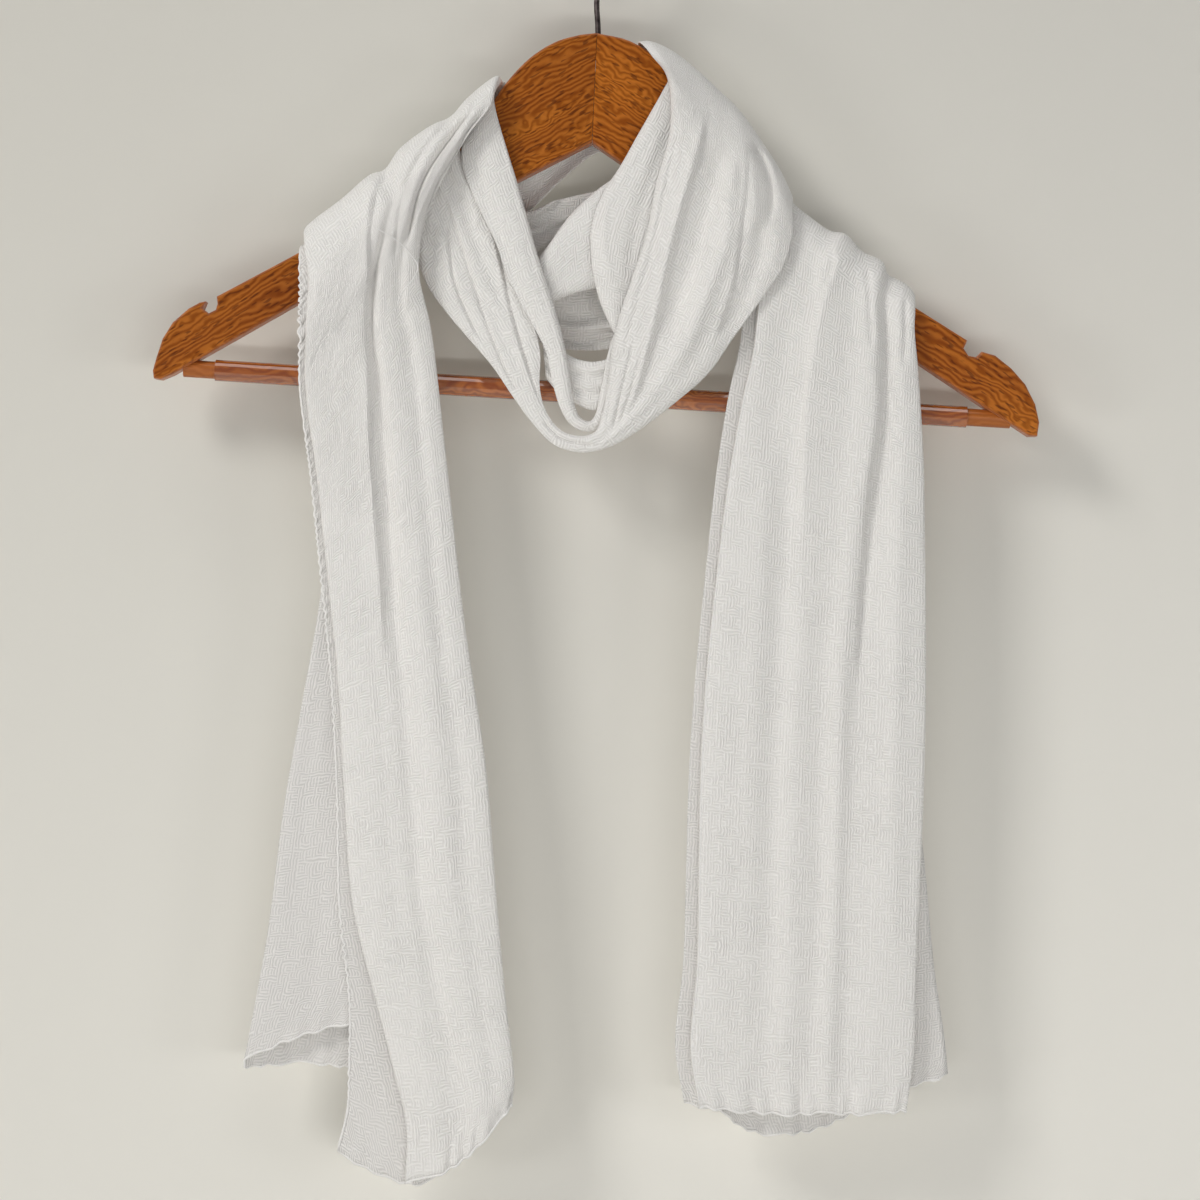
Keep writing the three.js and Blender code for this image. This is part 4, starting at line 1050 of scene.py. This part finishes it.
def edge_highlight_mask(tree):
    """A mask for the painted highlight on the edges, which grows as a face turns away from the front or the
    back of a flat board.
    """
    facing = tree.nodes.new("ShaderNodeNewGeometry")
    parts = tree.nodes.new("ShaderNodeSeparateXYZ")
    tree.links.new(facing.outputs["True Normal"], parts.inputs[0])
    flatness = math_node(tree, "ABSOLUTE", parts.outputs["Y"])
    edge = math_node(tree, "SUBTRACT", 0.97, flatness)
    edge = math_node(tree, "MULTIPLY", edge, 3.2, clamp=True)
    return math_node(tree, "MULTIPLY", edge, 0.7)


def wood_material(name, turn, painted_brightness):
    """Lacquered orange-brown hardwood, its grain turned along the arm, with a painted highlight on its
    rounded edges.
    Its brightness factor paints one arm's wood brighter than the other's, as painted light."""
    def brightened(*colour):
        return tuple(painted_brightness * part for part in colour)

    material, tree, shader = new_material(name)
    shader.inputs["Specular IOR Level"].default_value = 0.2
    shader.inputs["Coat Weight"].default_value = 0.16
    shader.inputs["Coat Roughness"].default_value = 0.25
    grain = grain_at(tree, turn)
    base = ramp(
        tree, grain.outputs["Bands"],
        (0.32, brightened(0.260, 0.057, 0.003)),
        (0.68, brightened(0.440, 0.126, 0.009)),
        (0.50, brightened(0.345, 0.088, 0.005)),
    )
    light = colour_mix(tree, 0.3, base, brightened(0.620, 0.215, 0.026))
    dark = colour_mix(tree, 0.42, base, (0.120, 0.023, 0.001))
    lined = colour_mix(tree, grain.outputs["Lines"], dark, light)
    pores = math_node(tree, "MULTIPLY", grain.outputs["Pores"], 0.6)
    pored = colour_mix(tree, pores, lined, (0.070, 0.012, 0.001))
    # painted highlight: the rounded edges are painted paler
    edge_highlighted = colour_mix(tree, edge_highlight_mask(tree), pored, (0.500, 0.180, 0.075))
    tree.links.new(edge_highlighted, shader.inputs["Base Color"])
    rough = math_node(tree, "MULTIPLY_ADD", grain.outputs["Lines"], 0.14, 0.3)
    tree.links.new(rough, shader.inputs["Roughness"])
    add_bump(tree, shader, grain.outputs["Lines"], distance=0.05 * MM, strength=0.6)
    return material


def round_bar_material(name, light, deep, roughness, coat, coat_ior):
    """The bar's wood, or the glossy sleeve on it, with lengthwise grain."""
    material, tree, shader = new_material(name)
    shader.inputs["Specular IOR Level"].default_value = 0.3
    shader.inputs["Coat Weight"].default_value = coat
    shader.inputs["Coat Roughness"].default_value = 0.06
    shader.inputs["Coat IOR"].default_value = coat_ior
    grain = grain_at(tree, BAR_TURN)
    base = colour_mix(tree, grain.outputs["Bands"], deep, light)
    lined = colour_mix(tree, math_node(tree, "MULTIPLY", grain.outputs["Lines"], 0.8), base, deep)
    tree.links.new(lined, shader.inputs["Base Color"])
    rough = math_node(tree, "MULTIPLY_ADD", grain.outputs["Bands"], 0.12, roughness)
    tree.links.new(rough, shader.inputs["Roughness"])
    add_bump(tree, shader, grain.outputs["Bands"], distance=0.25 * MM, strength=0.5)
    return material


def steel_material(name):
    """Dark wire, a little worn where it rubs."""
    material, tree, shader = new_material(name)
    shader.inputs["Metallic"].default_value = 0.9
    place = tree.nodes.new("ShaderNodeTexCoord")
    wear = noise_node(tree, place.outputs["Object"], scale=260.0, detail=3.0)
    colour = ramp(tree, wear, (0.35, (0.045, 0.034, 0.033)), (0.75, (0.150, 0.125, 0.120)))
    tree.links.new(colour, shader.inputs["Base Color"])
    rough = math_node(tree, "MULTIPLY_ADD", wear, 0.3, 0.25)
    tree.links.new(rough, shader.inputs["Roughness"])
    drawn_out = scaled(tree, place.outputs["Object"], (1.0, 1.0, 0.12))
    scratches = noise_node(tree, drawn_out, scale=1500.0, detail=1.0)
    add_bump(tree, shader, scratches, distance=0.03 * MM, strength=0.5)
    return material


CRINKLE = make_crinkle_group()
GRAIN = make_grain_group()

CREPE = cloth_material(
    "white_crepe", light=(0.965, 0.945, 0.915), shade=(0.795, 0.772, 0.737), relief=0.27)
SHEER_CREPE = cloth_material(
    "sheer_crepe", light=(0.93, 0.91, 0.885), shade=(0.82, 0.795, 0.765), relief=0.15, cover=SINGLE_COVER)
HEM_THREAD = cloth_material(
    "rolled_hem", light=(0.95, 0.935, 0.91), shade=(0.88, 0.86, 0.835), relief=0.08)
# painted light: the right arm's wood is painted brighter than the left arm's
WOOD_LEFT = wood_material("lacquered_wood_left_arm", LEFT_ARM_TURN, painted_brightness=1.04)
WOOD_RIGHT = wood_material("lacquered_wood_right_arm", RIGHT_ARM_TURN, painted_brightness=1.2)
BAR_WOOD = round_bar_material(
    "bar_wood", light=(0.60, 0.200, 0.045), deep=(0.36, 0.10, 0.016), roughness=0.30, coat=0.2, coat_ior=1.6)
SLEEVE_FILM = round_bar_material(
    "glossy_bar_sleeve", light=(0.72, 0.225, 0.035), deep=(0.24, 0.045, 0.005), roughness=0.12, coat=0.8,
    coat_ior=2.3)
DARK_STEEL = steel_material("dark_steel_wire")


# The scarf

def dress(piece, slot, *nodes):
    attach(piece, "root")
    if nodes:
        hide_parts(*nodes)


def hang_cloth(name, stretch, cell, creases, ripple, seed, outward=-1, shape=None, single=None, coarse=None):
    """One stretch of the scarf. outward is -1 where its outside faces the front, and 1 where it faces the
    wall. single gives the folds between which it is a lone, sheerer ply."""
    surface, places = middle_surface(stretch, cell, coarse)
    flat = flat_places(surface)
    add_ripples(surface, flat, ripple, seed, outward)
    add_creases(surface, places, creases, outward)
    if shape is not None:
        shape(surface, places)
    sheer = np.zeros(len(places), dtype=bool)
    if single is not None:
        sheer = (places >= single[0]) & (places <= single[1])
    piece = cloth_piece(name + "_cloth", surface, sheer)
    dress(piece, "gauze", name)
    return piece, surface, places


def hem(name, path, radius=HEM_RADIUS):
    piece = cord_piece(name, path, radius, HEM_THREAD)
    dress(piece, "gauze")
    return piece


def column_at(places, wanted):
    return int(np.argmin(np.abs(places - wanted)))


def round_off_strip(surface, places):
    """Lowers the middle of the selvedge strip's foot, so that its hem runs on into the front panel's."""
    rows = np.arange(surface.shape[0])
    near_foot = eased(rows, surface.shape[0] - STRIP_FOOT_ROWS, surface.shape[0] - 1)
    strip = places < 1
    sag = 4 * places[strip] * (1 - places[strip])
    surface[:, strip, 2] -= STRIP_SAG * near_foot[:, None] * sag[None, :]


def shape_left_tail(surface, places):
    add_hem_waves(surface, depth=8, amount=0.7, pitch=11.0, seed=3.0)
    add_scallops(surface, reach=6, amount=0.75, seed=11.0)
    round_off_strip(surface, places)


def shape_left_fan(surface, places):
    add_hem_waves(surface, depth=6, amount=0.9, pitch=13.0, seed=21.0)


def shape_right_tail(surface, places):
    add_hem_waves(surface, depth=8, amount=0.8, pitch=12.0, seed=31.0)


def shape_right_back(surface, places):
    add_hem_waves(surface, depth=6, amount=0.9, pitch=10.0, seed=41.0)


left_tail, left_surface, _ = hang_cloth(
    "left_tail_front", LEFT_TAIL, TAIL_CELL, LEFT_TAIL_CREASES, ripple=0.4, seed=1.0,
    shape=shape_left_tail, single=(0, 3), coarse=(13, COARSE_CELL))
left_fan, fan_surface, _ = hang_cloth(
    "left_tail_back", LEFT_TAIL_BACK, HIDDEN_CELL, LEFT_FAN_CREASES, ripple=0.35, seed=2.0,
    shape=shape_left_fan, single=(0, 8))
right_tail, right_surface, right_places = hang_cloth(
    "right_tail_front", RIGHT_TAIL, TAIL_CELL, RIGHT_TAIL_CREASES, ripple=0.4, seed=3.0,
    shape=shape_right_tail, single=(0, 2.5), coarse=(12, COARSE_CELL))
right_back, back_surface, _ = hang_cloth(
    "right_tail_back", RIGHT_TAIL_BACK, HIDDEN_CELL, [], ripple=0.35, seed=4.0,
    shape=shape_right_back, single=(0, 8))
loop, _, _ = hang_cloth(
    "front_loop_outer", FRONT_LOOP, LOOP_CELL, FRONT_LOOP_CREASES, ripple=0.2, seed=5.0)
inner, _, _ = hang_cloth(
    "front_loop_inner", FRONT_LOOP_INNER, LOOP_CELL, INNER_CREASES, ripple=0.15, seed=6.0)
neck_band, _, _ = hang_cloth(
    "neck_band_right", NECK_BAND_RIGHT, LOOP_CELL, NECK_BAND_CREASES, ripple=0.2, seed=7.0)
neck_strand, _, _ = hang_cloth(
    "neck_strand", NECK_STRAND, LOOP_CELL, [], ripple=0.2, seed=8.0)
low_strand, _, _ = hang_cloth(
    "low_strand", LOW_STRAND, LOOP_CELL, [], ripple=0.2, seed=9.0)
upper_band, _, _ = hang_cloth(
    "back_band_upper", BACK_BAND_UPPER, HIDDEN_CELL, [], ripple=0.35, seed=10.0, outward=1)
lower_band, _, _ = hang_cloth(
    "back_band_lower", BACK_BAND_LOWER, BACK_CELL, BACK_BAND_CREASES, ripple=0.3, seed=11.0, outward=1)

left_hems = [
    hem("left_tail_selvedge", left_surface[:, 0], PICOT_HEM_RADIUS),
    hem("left_tail_bottom_hem", left_surface[-1]),
]
fan_hems = [hem("left_fan_bottom_hem", fan_surface[-1])]
# the right tail's selvedge lies a little proud of its left edge, from below the arm's top
right_edge = right_surface[8:, column_at(right_places, 4)] + np.array([0.2, -0.4, 0.0])
right_hems = [
    hem("right_tail_bottom_hem", right_surface[-1]),
    hem("right_tail_selvedge", right_edge, SELVEDGE_RADIUS),
]
back_hems = [hem("right_back_bottom_hem", back_surface[-1])]

# a loose thread that lies on the left tail's front
loose_thread = hem(
    "loose_thread",
    fine_path([(-109.5, -26.0, -179.3), (-98.6, -26.2, -186), (-91.6, -25.8, -193.4), (-88.9, -25.4, -198.2),
               (-90.8, -25.6, -203.6), (-97.1, -25.8, -212), (-99.3, -25.6, -217.6)]),
    THREAD_RADIUS,
)
left_hems.append(loose_thread)


# The hanger keeps its own solids

NODE_FINISHES = {
    "hanger_arm_left": WOOD_LEFT,
    "hanger_arm_right": WOOD_RIGHT,
    "trouser_bar": BAR_WOOD,
    "bar_sleeve": SLEEVE_FILM,
    "hook": DARK_STEEL,
}
for node, finish in NODE_FINISHES.items():
    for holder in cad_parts[node].material_slots:
        holder.material = finish


# Backdrop, floor, lights and camera

def matt_material(name, roughness):
    material, tree, shader = new_material(name)
    shader.inputs["Roughness"].default_value = roughness
    shader.inputs["Specular IOR Level"].default_value = 0.2
    return material, tree, shader


def make_wall_material(high, low):
    """A wall with painted light, whose colour changes evenly from one colour, high at the left, to a lighter
    one, low at the right.
    Sight and lamp light pass through its back."""
    material, tree, shader = matt_material("pale_backdrop", 0.9)
    place = tree.nodes.new("ShaderNodeTexCoord")
    parts = tree.nodes.new("ShaderNodeSeparateXYZ")
    tree.links.new(place.outputs["Object"], parts.inputs[0])
    # painted light: the wall grows lighter towards the right and towards the bottom
    rightness = math_node(tree, "MULTIPLY", parts.outputs["X"], 0.6)
    fall = math_node(tree, "SUBTRACT", rightness, parts.outputs["Z"])
    fall = math_node(tree, "ADD", fall, 0.2, clamp=True)
    tree.links.new(colour_mix(tree, fall, high, low), shader.inputs["Base Color"])

    clear = tree.nodes.new("ShaderNodeBsdfTransparent")
    mix = tree.nodes.new("ShaderNodeMixShader")
    face = tree.nodes.new("ShaderNodeNewGeometry")
    ray = tree.nodes.new("ShaderNodeLightPath")
    through = math_node(tree, "MAXIMUM", face.outputs["Backfacing"], ray.outputs["Is Shadow Ray"])
    tree.links.new(through, mix.inputs[0])
    tree.links.new(shader.outputs[0], mix.inputs[1])
    tree.links.new(clear.outputs[0], mix.inputs[2])
    tree.links.new(mix.outputs[0], tree.nodes["Material Output"].inputs["Surface"])
    return material


def make_floor_material(colour):
    """A floor with a faint mottle."""
    material, tree, shader = matt_material("pale_floor", 0.85)
    place = tree.nodes.new("ShaderNodeTexCoord")
    mottle = noise_node(tree, place.outputs["Object"], scale=3.0, detail=3.0)
    darker = tuple(0.95 * part for part in colour)
    tree.links.new(colour_mix(tree, mottle, darker, colour), shader.inputs["Base Color"])
    return material


def flat_sheet(name, width, length, matrix, material):
    """A plain rectangle, turned and placed by its matrix, all in metres."""
    mesh = bpy.data.meshes.new(name)
    bm = bmesh.new()
    size = Matrix.Diagonal((width, length, 1.0, 1.0))
    bmesh.ops.create_grid(bm, x_segments=1, y_segments=1, size=0.5, matrix=matrix @ size)
    bm.to_mesh(mesh)
    bm.free()
    return new_piece(name, mesh, material)


def area_light(name, place, aim, width, height, power, colour=(1.0, 1.0, 1.0)):
    """A soft lamp that the camera doesn't see, with its place and size in metres and its power in watts."""
    lamp = bpy.data.lights.new(name, "AREA")
    lamp.shape = "RECTANGLE"
    lamp.size = width
    lamp.size_y = height
    lamp.energy = power
    lamp.color = colour
    holder = bpy.data.objects.new(name, lamp)
    holder.location = place
    holder.rotation_euler = (Vector(aim) - Vector(place)).to_track_quat("-Z", "Y").to_euler()
    holder.visible_camera = False
    bpy.context.scene.collection.objects.link(holder)


wall_material = make_wall_material(high=(0.655, 0.636, 0.577), low=(0.920, 0.898, 0.832))
floor_material = make_floor_material((0.72, 0.715, 0.69))

wall_turn = Matrix.Translation((0.0, WALL_DEPTH * MM, 0.2)) @ Matrix.Rotation(math.radians(90), 4, "X")
backdrop = flat_sheet("backdrop", width=5.0, length=3.0, matrix=wall_turn, material=wall_material)
floor_place = Matrix.Translation((0.0, -0.6, -FLOOR_DROP * MM))
floor = flat_sheet("floor", width=6.0, length=5.0, matrix=floor_place, material=floor_material)

MIDDLE = (0.0, 0.0, -0.32)
LOW_MIDDLE = (0.0, 0.0, -0.62)
WARM_WHITE = (1.0, 0.99, 0.97)
area_light("key", (-1.3, -1.25, 0.9), MIDDLE, width=0.6, height=0.6, power=16.7, colour=WARM_WHITE)
area_light("front_fill", (0.1, -1.4, -0.69), LOW_MIDDLE, width=1.2, height=0.1, power=4.5)
area_light("left_fill", (-1.1, -0.95, -0.66), LOW_MIDDLE, width=0.4, height=0.16, power=1.9)
area_light("right_fill", (1.15, -1.0, -0.60), LOW_MIDDLE, width=0.4, height=0.3, power=2.0)
area_light("ceiling", (-0.1, -0.4, 1.05), MIDDLE, width=1.4, height=0.5, power=2.6)
area_light("behind", (0.4, 1.8, 0.4), MIDDLE, width=1.8, height=1.8, power=9.0)

world = bpy.data.worlds.new("soft_studio")
bpy.context.scene.world = world
world.use_nodes = True
sky = world.node_tree.nodes["Background"]
sky.inputs["Color"].default_value = (0.93, 0.95, 1.0, 1.0)
sky.inputs["Strength"].default_value = 0.15

lens = bpy.data.cameras.new("camera")
lens.lens = CAMERA_LENS
lens.sensor_width = CAMERA_SENSOR
lens.clip_start = 0.05
lens.clip_end = 30.0
camera = bpy.data.objects.new("camera", lens)
camera.location = Vector(CAMERA_PLACE) * MM
camera.rotation_euler = (math.radians(90), 0.0, 0.0)
bpy.context.scene.collection.objects.link(camera)
bpy.context.scene.camera = camera
bpy.context.scene.view_settings.view_transform = "Standard"
